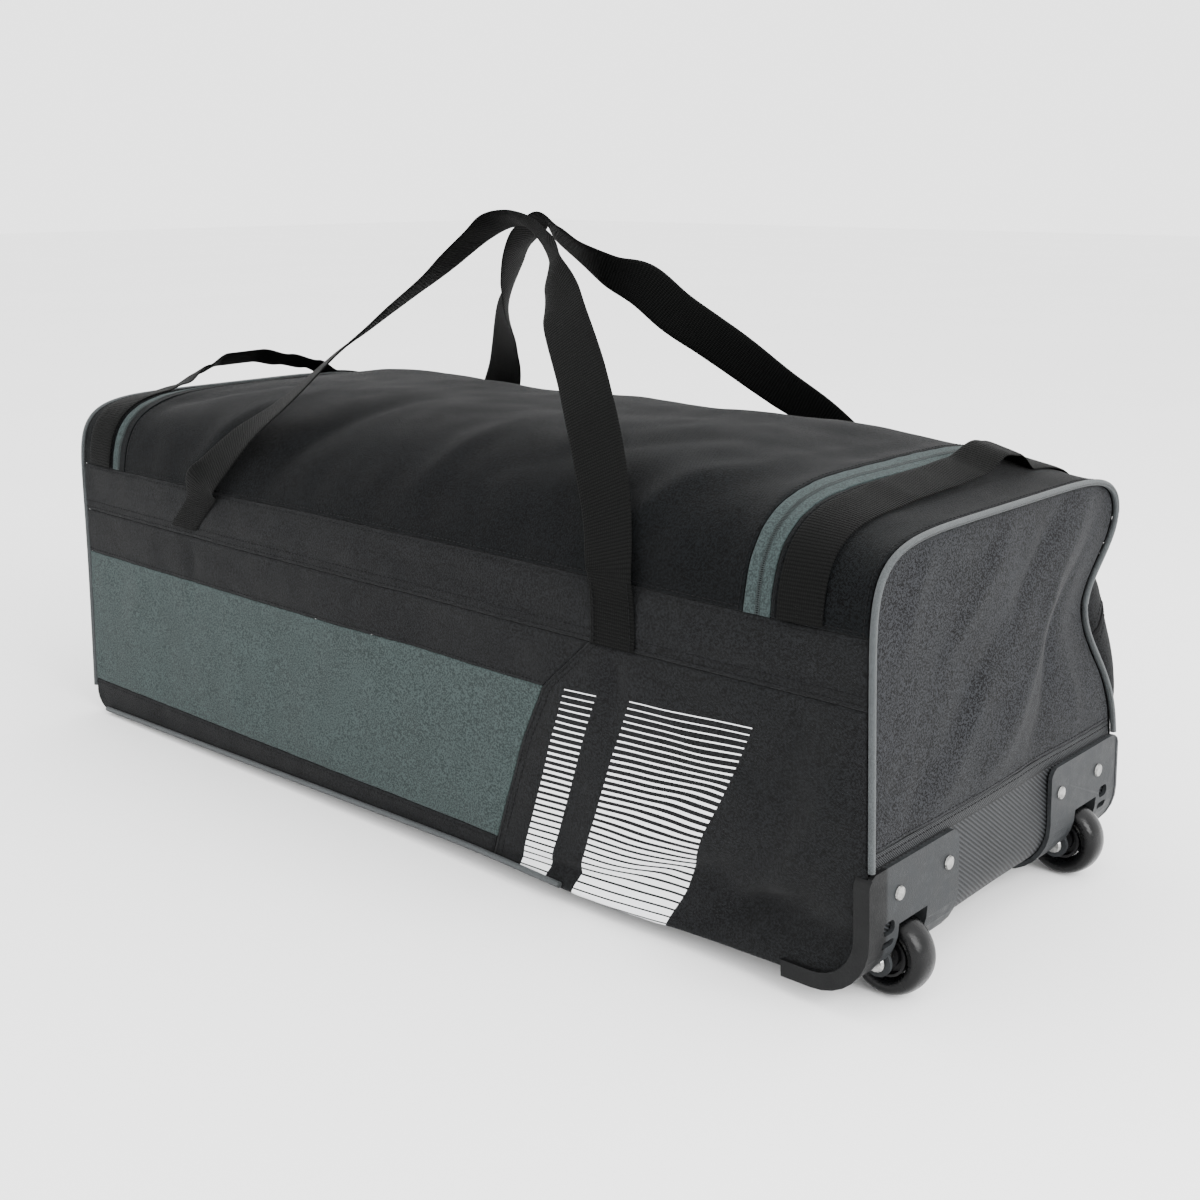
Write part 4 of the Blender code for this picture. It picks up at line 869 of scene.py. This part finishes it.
def ribbed_finish(name, colour, binding=None):
    """Tough cloth with slanting ribs, and with a finer tape sewn on from a height up."""
    f = Finish(name, 0.60, sheen=0.0, specular=0.2)
    u, v = f.flat()
    turn = math.radians(RIB_ANGLE)
    across = f.math("SUBTRACT", f.scaled(v, math.cos(turn)), f.scaled(u, math.sin(turn)))
    ribs = f.between(f.wave(across, RIB), -0.7, 0.9)
    if binding:
        fine = f.between(f.wave(f.add(u, v), FINE_RIB), -0.7, 0.9)
        taped = f.math("GREATER_THAN", v, binding)
        ribs = f.add(f.scaled(fine, taped), f.scaled(ribs, f.math("SUBTRACT", 1.0, taped)))
        groove = f.between(f.math("ABSOLUTE", f.math("SUBTRACT", v, binding)), 0.0004, 0.0010)
        ribs = f.scaled(ribs, groove)
    yarn = f.speckle(0.0009, 2.0)
    dust = f.speckle(0.03, 3.0, 5.0)
    tone = f.scaled(ribs, f.between(yarn, 0.3, 0.7, 0.7, 1.0))
    base = f.mixed(tone, shaded(colour, 0.12), shaded(colour, 2.0))
    base = f.mixed(f.between(dust, 0.4, 0.8, 0.0, 0.2), base, shaded(colour, 2.2))
    return f.finished(base, f.add(ribs, f.scaled(yarn, 0.2)), depth=0.0006)


def cord_finish(name, colour):
    """Piping: thin cloth pulled over a cord, with fine slanting threads."""
    f = Finish(name, 0.55, sheen=0.05, specular=0.3)
    u, v = f.flat()
    threads = f.wave(f.add(v, u), CORD_THREAD)
    yarn = f.speckle(0.0012, 3.0)
    dust = f.speckle(0.020, 3.0, 3.0)
    base = f.mixed(f.between(yarn, 0.3, 0.7), shaded(colour, 0.75), shaded(colour, 1.25))
    base = f.mixed(f.between(dust, 0.45, 0.7, 0.0, 0.35), base, shaded(colour, 0.6))
    return f.finished(base, f.add(f.scaled(threads, 0.5), yarn), depth=0.0003)


def moulded_finish(name, colour, roughness, grain=0.0009, depth=0.00025, scuff=0.25, specular=0.2,
                    sides_black_and_painted_shade=False):
    """Moulded plastic or rubber with a fine texture, dust and scuffs, and, when asked, darkened outer sides:
    partly a black binding, partly painted shade.
    """
    f = Finish(name, roughness, specular=specular)
    pores = f.speckle(grain, 2.0)
    dust = f.speckle(0.012, 5.0, 3.0)
    marks = f.between(f.speckle(0.004, 6.0, 7.0), 0.56, 0.68, 0.0, scuff)
    base = f.mixed(f.between(dust, 0.3, 0.7), shaded(colour, 0.75), shaded(colour, 1.25))
    base = f.mixed(marks, base, shaded(colour, 2.2))
    # Darkens the outer sides: partly the black binding there, partly painted shade on the side faces.
    if sides_black_and_painted_shade:
        split = f.tree.nodes.new("ShaderNodeSeparateXYZ")
        f.tree.links.new(f.place(), split.inputs[0])
        outward = f.math("ABSOLUTE", split.outputs[1])
        side = f.between(outward, HALF_WIDTH - SIDE_EDGE, HALF_WIDTH, kind="SMOOTHSTEP")
        base = f.mixed(side, base, SIDE_BLACK_AND_PAINTED_SHADE)
    rough = f.between(dust, 0.3, 0.7, roughness - 0.08, roughness + 0.12)
    return f.finished(base, pores, depth=depth, roughness=rough)


def metal_finish(name, colour):
    f = Finish(name, 0.35, metallic=1.0)
    swirl = f.speckle(0.0008, 3.0)
    stain = f.speckle(0.003, 4.0, 2.0)
    base = f.mixed(f.between(stain, 0.35, 0.7), colour, shaded(colour, 0.6))
    return f.finished(base, swirl, depth=0.00008, roughness=f.between(stain, 0.3, 0.7, 0.22, 0.5))


def floor_finish():
    f = Finish("floor_finish", 0.9, specular=0.1)
    tone = f.between(f.speckle(0.6, 2.0), 0.3, 0.7)
    return f.finished(f.mixed(tone, (0.90, 0.90, 0.90), (0.92, 0.92, 0.92)))


RIBBED = (0.0135, 0.0145, 0.0158)
BLACK = (0.0034, 0.0037, 0.0041)
# The lid and the top gussets are the same black cloth as the body. Their darker colour is painted shade for
# the top, which gets less light.
TOP_PAINTED_SHADE_BLACK = (0.0019, 0.0023, 0.0026)
body_cloth = cloth_finish("body_cloth_finish", BLACK)
top_painted_shade_cloth = cloth_finish("top_painted_shade_cloth_finish", TOP_PAINTED_SHADE_BLACK, specular=0.06)
striped_cloth = cloth_finish("striped_cloth_finish", BLACK, print_on=stripes)
grey_cloth = cloth_finish("grey_cloth_finish", (0.0250, 0.0345, 0.0338), contrast=0.42)
end_cloth = cloth_finish("end_cloth_finish", (0.0092, 0.0098, 0.0110))
zip_cloth = cloth_finish("zip_cloth_finish", (0.0230, 0.0320, 0.0320), weave=0.0009, contrast=0.4)
ribbed_cloth = ribbed_finish("ribbed_cloth_finish", RIBBED)
webbing = webbing_finish("webbing_finish", (0.0015, 0.0016, 0.0015))
piping = cord_finish("piping_finish", (0.036, 0.041, 0.043))
black_thread = moulded_finish("black_thread_finish", (0.0034, 0.0034, 0.0038), 0.7, grain=0.0004,
                              specular=0.1)
grey_thread = moulded_finish("zip_coil_finish", (0.014, 0.019, 0.019), 0.55, grain=0.0004)
# The bracket's outer sides are darkened: partly black binding, partly painted shade.
bracket_plastic = moulded_finish("bracket_plastic_finish", (0.0170, 0.0184, 0.0196), 0.50,
                                 specular=0.12, sides_black_and_painted_shade=True)
hub_plastic = moulded_finish("hub_plastic_finish", (0.0030, 0.0030, 0.0034), 0.45)
tyre_rubber = moulded_finish("tyre_rubber_finish", (0.0016, 0.0017, 0.0019), 0.24, depth=0.00008,
                             scuff=0.10, specular=0.18)
plated_steel = metal_finish("plated_steel_finish", (0.36, 0.36, 0.35))


# Pieces

def level(height):
    return lambda x: height + 0 * x


def build_sides():
    far, wheel = level(-HALF_LENGTH), level(HALF_LENGTH)
    lower = lambda x: edge_height(x) + SEAM
    strip_top = lambda x: np.maximum(STRIP_TOP - JOIN, edge_height(x) + SEAM + CLOTH)
    grey_foot = lambda x: np.maximum(STRIP_TOP + JOIN, edge_height(x) + 2 * SEAM + CLOTH)
    before = lambda z: slant(z) - JOIN
    after = lambda z: slant(z) + JOIN
    band = (level(BAND_LOW + JOIN), level(BAND_HIGH - JOIN))
    plan = (
        ("front_base_strip", "front", -1, far, before, lower, strip_top, body_cloth, "black_cloth"),
        ("front_grey_panel", "front", -1, far, before, grey_foot, level(GREY_TOP - JOIN), grey_cloth,
         "grey_cloth"),
        ("front_upper_strip", "front", -1, far, before, level(GREY_TOP + JOIN),
         level(BAND_LOW - JOIN), body_cloth, "black_cloth"),
        ("front_striped_panel", "front", -1, after, wheel, lower, level(BAND_LOW - JOIN),
         striped_cloth, "black_cloth"),
        ("front_band", "front", -1, far, wheel, *band, body_cloth, "black_cloth"),
        ("back_panel", "back", 1, far, wheel, lower, level(BAND_LOW - JOIN), body_cloth, "black_cloth"),
        ("back_band", "back", 1, far, wheel, *band, body_cloth, "black_cloth"),
    )
    made = {}
    for name, face, side, left, right, low, high, finish, slot in plan:
        made[name] = dressed(side_patch(side, left, right, low, high), face)
        add_cloth(f"{name}_cloth", made[name], finish, slot, [name])
    lines = []
    for side in ("front", "back"):
        band_cloth = made[f"{side}_band"]
        lines += [line_at(band_cloth, "low"), line_at(band_cloth, "low", SECOND_STITCH)]
        lines.append(line_at(band_cloth, "high"))
    lines += [line_at(made["front_striped_panel"], "left", d) for d in (SEAM_STITCH, STRIPED_STITCH)]
    lines += [line_at(made["front_upper_strip"], "low"), line_at(made["front_base_strip"], "high")]
    add_stitches("side_stitches", lines, black_thread)


def build_top():
    tape = ZIP_TAPE + JOIN
    zip_foot = BAND_HIGH + 2 * ZIP_TAPE + ZIP_COIL
    lid = dressed(top_patch(ZIP_FAR_END + tape + ZIP_COIL, ZIP_WHEEL_END - tape - ZIP_COIL, zip_foot), "top")
    # The lid here, and the gussets below, get the darker top cloth. Its colour is painted shade, not a
    # different cloth.
    add_cloth("lid_cloth", lid, top_painted_shade_cloth, "black_cloth", ["lid"])
    lines = [line_at(lid, edge) for edge in ("left", "right", "low", "high")]
    gussets = (
        ("gusset_wheel_end", ZIP_WHEEL_END + tape + SEAM, HALF_LENGTH),
        ("gusset_far_end", -HALF_LENGTH, ZIP_FAR_END - tape - SEAM),
    )
    for name, x_from, x_to in gussets:
        made = dressed(top_patch(x_from, x_to), "gusset_top", wave=0.7)
        add_cloth(f"{name}_cloth", made, top_painted_shade_cloth, "black_cloth", [name])
        lines += [line_at(made, edge) for edge in ("left", "right", "low", "high")]
    add_stitches("top_stitches", lines, black_thread)
    strips = (
        ("zip_wheel_end_outer", ZIP_WHEEL_END + ZIP_COIL / 2, ZIP_WHEEL_END + tape, "left"),
        ("zip_wheel_end_inner", ZIP_WHEEL_END - tape - ZIP_COIL / 2, ZIP_WHEEL_END - ZIP_COIL / 2,
         "right"),
        ("zip_far_end_outer", ZIP_FAR_END - tape, ZIP_FAR_END - ZIP_COIL / 2, "right"),
        ("zip_far_end_inner", ZIP_FAR_END + ZIP_COIL / 2, ZIP_FAR_END + tape + ZIP_COIL / 2, "left"),
    )
    tapes = [(name, top_patch(x_from, x_to), edge) for name, x_from, x_to, edge in strips]
    x_from = ZIP_FAR_END + ZIP_TAPE + 2 * ZIP_COIL
    x_to = ZIP_WHEEL_END - ZIP_TAPE - 2 * ZIP_COIL
    back = (
        ("zip_back_lower", BAND_HIGH + JOIN, BAND_HIGH + ZIP_TAPE, "high"),
        ("zip_back_upper", BAND_HIGH + ZIP_TAPE + ZIP_COIL,
         BAND_HIGH + 2 * ZIP_TAPE + ZIP_COIL - JOIN, "low"),
    )
    tapes += [(name, side_patch(1, level(x_from), level(x_to), level(low), level(high)), edge)
              for name, low, high, edge in back]
    coils = []
    for name, tape_patch, teeth_edge in tapes:
        tape_cloth = dressed(tape_patch, "zip", wave=0.3, roll=0.2)
        # The far end's inner tape, under the lid's flap, gets the darker top cloth. That is painted shade
        # from the flap, not the tape's own colour.
        finish = top_painted_shade_cloth if name == "zip_far_end_inner" else zip_cloth
        add_cloth(f"{name}_tape", tape_cloth, finish, "grey_tape", [name])
        coils.append(line_at(tape_cloth, teeth_edge, COIL_EDGE))
    add_stitches("zip_coils", coils, grey_thread, slot="grey_tape", size=0.0022, pitch=0.0013,
                 radius=0.00048, crosswise=True)


def opened(piece, side):
    """Cuts the wheel's well and the axle's ends out of a piece."""
    cheek = WHEEL_WIDTH / 2 + WHEEL_CLEAR + BRACKET_WALL + CLEAR
    well = WHEEL_RADIUS + WHEEL_CLEAR + BRACKET_WALL + CLEAR
    for radius, reach in ((well, cheek), (BOLT_OPENING, cheek + 0.008)):
        bpy.ops.mesh.primitive_cylinder_add(
            vertices=48, radius=radius, depth=2 * reach,
            location=Vector((AXLE_X, side * AXLE_Y, WHEEL_RADIUS)) + Vector(ORIGIN_SHIFT),
            rotation=(math.pi / 2, 0, 0))
        cutter = bpy.context.object
        step = piece.modifiers.new("opening", "BOOLEAN")
        step.operation = "DIFFERENCE"
        step.object = cutter
        step.solver = "EXACT"
        bpy.context.view_layer.objects.active = piece
        yield step.name
        bpy.data.objects.remove(cutter)


def applied(piece, name):
    with bpy.context.temp_override(object=piece, active_object=piece, selected_objects=[piece]):
        bpy.ops.object.modifier_apply(modifier=name)


def build_ends():
    panel = dressed(end_patch(1, RIBBED_TOP + JOIN), "wheel_end")
    add_cloth("wheel_end_panel_cloth", panel, end_cloth, "end_cloth", ["wheel_end_panel"])
    ribbed = dressed(corner_patch(1, WHEEL_CORNER, RIBBED_RUN, RIBBED_TOP - JOIN), "ribbed", wave=0.25)
    tape_from = float(ribbed.flat[..., 1].max()) - BINDING
    taped_cloth = ribbed_finish("taped_cloth_finish", RIBBED, tape_from)
    piece = add_cloth("ribbed_panel_cloth", ribbed, taped_cloth, "ribbed_cloth", ["ribbed_panel"])
    applied(piece, "wall")
    for side in (-1, 1):
        for name in opened(piece, side):
            applied(piece, name)
    far_panel = dressed(corner_patch(-1, FAR_CORNER, FAR_CORNER + SEAM, FAR_CORNER + FAR_SEAM), "far_corner")
    far_top = end_patch(-1, FAR_CORNER + FAR_SEAM + 0.0005)
    add_cloth("far_end_panel_cloth", dressed(far_top, "far_end"), end_cloth, "end_cloth", ["far_end_panel"])
    add_cloth("far_end_corner_cloth", far_panel, end_cloth, "end_cloth", [])
    reach = HALF_WIDTH - END_INSET
    x_from, x_to = -HALF_LENGTH + FAR_CORNER + 3 * SEAM, HALF_LENGTH - RIBBED_RUN - SEAM
    x = lerp(x_from, x_to, steps(BASE_RUN, BASE_CELL))
    y = lerp(-reach, reach, steps(2 * reach, BASE_CELL))
    x, y = np.meshgrid(x, y)
    base = patch(xyz(x, y, base_height(x)), np.stack((x, y), -1), (0, 0, 1))
    add_cloth("base_board_cloth", dressed(base, "base", wave=0.15, pucker=0.3, roll=0.3), ribbed_cloth,
              "ribbed_cloth", ["base_board"], wall=BASE_WALL)
    lines = [line_at(panel, "low"), line_at(ribbed, "high")]
    add_stitches("end_stitches", lines, black_thread, slot="end_cloth")


def build_piping():
    radius = PIPING / 2
    stand_off = radius + CLEAR
    lows = {1: BRACKET_TOP + CLEAR, -1: base_height(-HALF_LENGTH) + FAR_CORNER}
    for end, name in ((1, "piping_wheel_end"), (-1, "piping_far_end")):
        reach = HALF_WIDTH - CLOTH / 2
        heights = np.linspace(lows[end], SHOULDER_START, 60)[:-1]
        front = np.stack((np.full(59, -reach), heights), -1)
        over = rim_point(end, np.linspace(-1, 1, 300), CLOTH / 2)
        back = front[::-1] * (-1, 1)
        y, z = np.concatenate((front, over, back)).T
        line = dented(xyz(leaned(end * HALF_LENGTH, z) + end * stand_off, y, z))
        add_tube(f"{name}_cord", resampled(line, 0.003)[0], radius, piping, "grey_piping", [name])
    x_from = -HALF_LENGTH + FAR_CORNER
    x_back = HALF_LENGTH - BRACKET_RUN - FLANGE
    for side, name, x_to in ((-1, "front", BASE_PIPING_END), (1, "back", x_back)):
        x = np.linspace(x_from, x_to, 200)
        line = on_side(x, base_height(x) + radius + CLOTH, side, stand_off)
        add_tube(f"piping_base_{name}_cord", line, radius, piping, "grey_piping", [f"piping_base_{name}"])


def through(rows, count):
    """A smooth curve through rows of numbers, read at even steps."""
    points = np.array(rows, float)
    spans = len(points) - 1
    place = np.minimum(np.linspace(0, 1, count + 1) * spans, spans - 1e-9)
    i = place.astype(int)
    f = (place - i)[:, None]
    a, b, c, d = (points[np.clip(i + k, 0, spans)] for k in (-1, 0, 1, 2))
    return 0.5 * (2 * b + (c - a) * f + (2 * a - 5 * b + 4 * c - d) * f**2
                  + (3 * b - a - 3 * c + d) * f**3)


def build_carry_handles():
    half = WEBBING / 2
    off = SEAM + WEBBING_THICK / 2
    lines = []
    handles = (("carry_handle_front", FRONT_HANDLE, -1), ("carry_handle_back", BACK_HANDLE, 1))
    for name, rows, side in handles:
        reach, across, rise, *wide = through(rows, HANDLE_STEPS).T
        free = xyz(HANDLE_MIDDLE + HANDLE_SPAN * reach, HALF_WIDTH * across,
                   BAND_LOW + SEAM + HANDLE_RISE * rise)
        ends = [on_side(free[:, 0] + step, free[:, 2], side, off) for step in (-half, half)]
        loose = smooth(np.clip((free[:, 2] - BAND_LOW - HANDLE_SEWN) / HANDLE_SEWN, 0, 1))[:, None]
        centres = lerp((ends[0] + ends[1]) / 2, free, loose)
        sewn_wides = unit(ends[1] - ends[0])
        wides = lerp(sewn_wides, unit(np.stack(wide, -1)), loose)
        along = unit(np.gradient(centres, axis=0))
        wides = unit(wides - along * np.sum(wides * along, -1, keepdims=True))
        wides = unit(lerp(sewn_wides, wides, loose))
        edges = []
        for step in (-half, half):
            edge = centres + wides * step
            surface = on_side(edge[:, 0], edge[:, 2], side, off)
            edge[:, 1] = side * np.maximum(side * edge[:, 1], side * surface[:, 1])
            edges.append(edge)
        middle = (edges[0] + edges[1]) / 2
        waves = cloud(middle, 0.045, 2.2)[:, None] * 0.0012 * loose
        ways = unit(edges[1] - edges[0])
        up = unit(np.cross(along, ways))
        add_webbing(f"{name}_webbing", middle + up * waves, ways, half, [name], squared=False)
        outward = up * np.sign(np.sum(up[0] * (0, side, 0)))
        for sewn in (slice(0, HANDLE_STITCHED), slice(-HANDLE_STITCHED, None)):
            for share in (-HANDLE_STITCH, HANDLE_STITCH):
                line = middle[sewn] + ways[sewn] * half * share + outward[sewn] * 0.0011
                lines.append((line, outward[sewn]))
    add_stitches("handle_stitches", lines, black_thread, slot="black_webbing")


def grab_lift(across, rows):
    lift = np.zeros_like(across)
    for a, b in zip(rows, rows[1:]):
        t = np.clip((across - a.across) / (b.across - a.across), 0, 1)
        inside = (across >= a.across) & (across <= b.across)
        lift = np.where(inside, lerp(a.lift, b.lift, smooth(t)), lift)
    return lift


def build_grab_handles():
    ends = (
        ("grab_handle_wheel_end", GRAB_WHEEL_END, WHEEL_END_GRAB, 0.0),
        ("grab_handle_far_end", GRAB_FAR_END, FAR_END_GRAB, GRAB_TILT),
    )
    for name, x, table, tilt in ends:
        foot = turn_at_height(np.array(x), BAND_HIGH + 2 * SEAM)
        turn = np.linspace(-foot, foot, 180)
        step = over_top(x, turn + 0.01) - over_top(x, turn - 0.01)
        outward = unit(xyz(0.0, -step[:, 2], step[:, 1]))
        lift = grab_lift(over_top(x, turn)[:, 1] / HALF_WIDTH, table)
        off = SEAM + WEBBING_THICK / 2 + GRAB_RISE * lift
        half = GRAB_WIDTH / 2 * (1 - GRAB_GATHER * lift)
        edges = [
            over_top(x + way * half, turn) + outward * (off + way * tilt * lift)[:, None]
            for way in (-1, 1)]
        middle = (edges[0] + edges[1]) / 2
        add_webbing(f"{name}_webbing", middle, unit(edges[1] - edges[0]), half, [name])


def build_pocket():
    u = 2 * steps(POCKET_LENGTH, 0.006) - 1
    v = 2 * steps(POCKET_HIGH - POCKET_LOW, 0.005) - 1
    u, v = np.meshgrid(u, v)
    a = lerp(u, u * np.sqrt(1 - v * v / 2), POCKET_ROUND)
    b = lerp(v, v * np.sqrt(1 - u * u / 2), POCKET_ROUND)
    x = POCKET_MIDDLE + POCKET_LENGTH / 2 * a
    z = (POCKET_LOW + POCKET_HIGH) / 2 + (POCKET_HIGH - POCKET_LOW) / 2 * b
    full = (1 - np.abs(u) ** 16) ** (1 / 3) * (1 - np.abs(v) ** 10) ** (1 / 3)
    rim = on_side(x, z, 1, 2 * SEAM + CLOTH)
    plain = xyz(leaned(x, z), half_width_at(x, z) + POCKET_DEPTH, z)
    points = lerp(rim, plain, full[..., None])
    pouch = dressed(patch(points, np.stack((x, z), -1), (0, 0, z.mean())), "pocket", roll=0.0)
    add_cloth("pocket_pouch_cloth", pouch, body_cloth, "black_cloth", ["pocket_pouch"])
    add_stitches("pocket_zip_coil", [line_at(pouch, "high", POCKET_ZIP, 0.0003)], black_thread, size=0.0040,
                 pitch=0.0014, radius=0.0006, crosswise=True)
    seams = [line_at(pouch, "high", POCKET_ZIP + step) for step in (-0.006, 0.006)]
    add_stitches("pocket_stitches", seams, black_thread)


def dress_hard_parts():
    """Materials for the CAD nodes whose shapes stay."""
    finishes = {
        "wheel_bracket": bracket_plastic, "wheel_hub": hub_plastic, "wheel_tyre": tyre_rubber,
        "axle_bolt": plated_steel, "rivet": plated_steel,
    }
    for name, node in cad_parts.items():
        for start, finish in finishes.items():
            if name.startswith(start):
                node.data.materials.clear()
                node.data.materials.append(finish)
        if name.startswith(("wheel_bracket", "wheel_tyre", "wheel_hub")):
            joined = node.modifiers.new("joined", "WELD")
            joined.merge_threshold = 0.00001
        if name.startswith("wheel_bracket"):
            rounded = node.modifiers.new("rounded", "BEVEL")
            rounded.width = BRACKET_EDGE
            rounded.segments = 3
            rounded.limit_method = "ANGLE"
            rounded.angle_limit = math.radians(40)
            rounded.harden_normals = True
        if name.startswith("wheel_tyre"):
            finer = node.modifiers.new("finer", "SUBSURF")
            finer.levels = finer.render_levels = 2


# Stage, light and camera

CAMERA_PLACE = (0.868375, -0.9088, 0.495)
CAMERA_TILT = 74.7
CAMERA_TURN = 42.07
LENS = 46.8
SENSOR = 36.0
FLOOR_REACH = 12.0
SKY_STRENGTH = 2.8


def add_light(name, place, target, size, power):
    lamp = bpy.data.lights.new(name, "AREA")
    lamp.shape = "RECTANGLE"
    lamp.size, lamp.size_y = size
    lamp.energy = power
    made = bpy.data.objects.new(name, lamp)
    made.location = place
    made.rotation_euler = (Vector(target) - Vector(place)).to_track_quat("-Z", "Y").to_euler()
    bpy.context.scene.collection.objects.link(made)


def build_stage():
    mesh = bpy.data.meshes.new("floor")
    corners = ((-1, -1), (1, -1), (1, 1), (-1, 1))
    mesh.from_pydata([(x * FLOOR_REACH, y * FLOOR_REACH, 0) for x, y in corners], [], [(0, 1, 2, 3)])
    floor = bpy.data.objects.new("floor", mesh)
    mesh.materials.append(floor_finish())
    bpy.context.scene.collection.objects.link(floor)
    world = bpy.data.worlds.new("studio")
    world.use_nodes = True
    sky = world.node_tree.nodes["Background"]
    sky.inputs["Color"].default_value = (1, 1, 1, 1)
    sky.inputs["Strength"].default_value = SKY_STRENGTH
    bpy.context.scene.world = world
    add_light("key_light", (2.2, -0.2, 1.3), (0.4, 0, 0.15), (1.6, 1.4), 88)
    add_light("front_light", (-0.6, -2.4, 1.4), (0, 0, 0.15), (2.0, 1.4), 20)
    add_light("top_light", (0.0, 0.6, 2.4), (0, 0, 0.2), (2.0, 1.2), 3)


def build_camera():
    lens = bpy.data.cameras.new("camera")
    lens.lens = LENS
    lens.sensor_width = SENSOR
    camera = bpy.data.objects.new("camera", lens)
    camera.location = CAMERA_PLACE
    camera.rotation_euler = (math.radians(CAMERA_TILT), 0, math.radians(CAMERA_TURN))
    bpy.context.scene.collection.objects.link(camera)
    bpy.context.scene.camera = camera


build_camera()
build_stage()
build_sides()
build_top()
build_ends()
build_piping()
build_carry_handles()
build_grab_handles()
build_pocket()
dress_hard_parts()
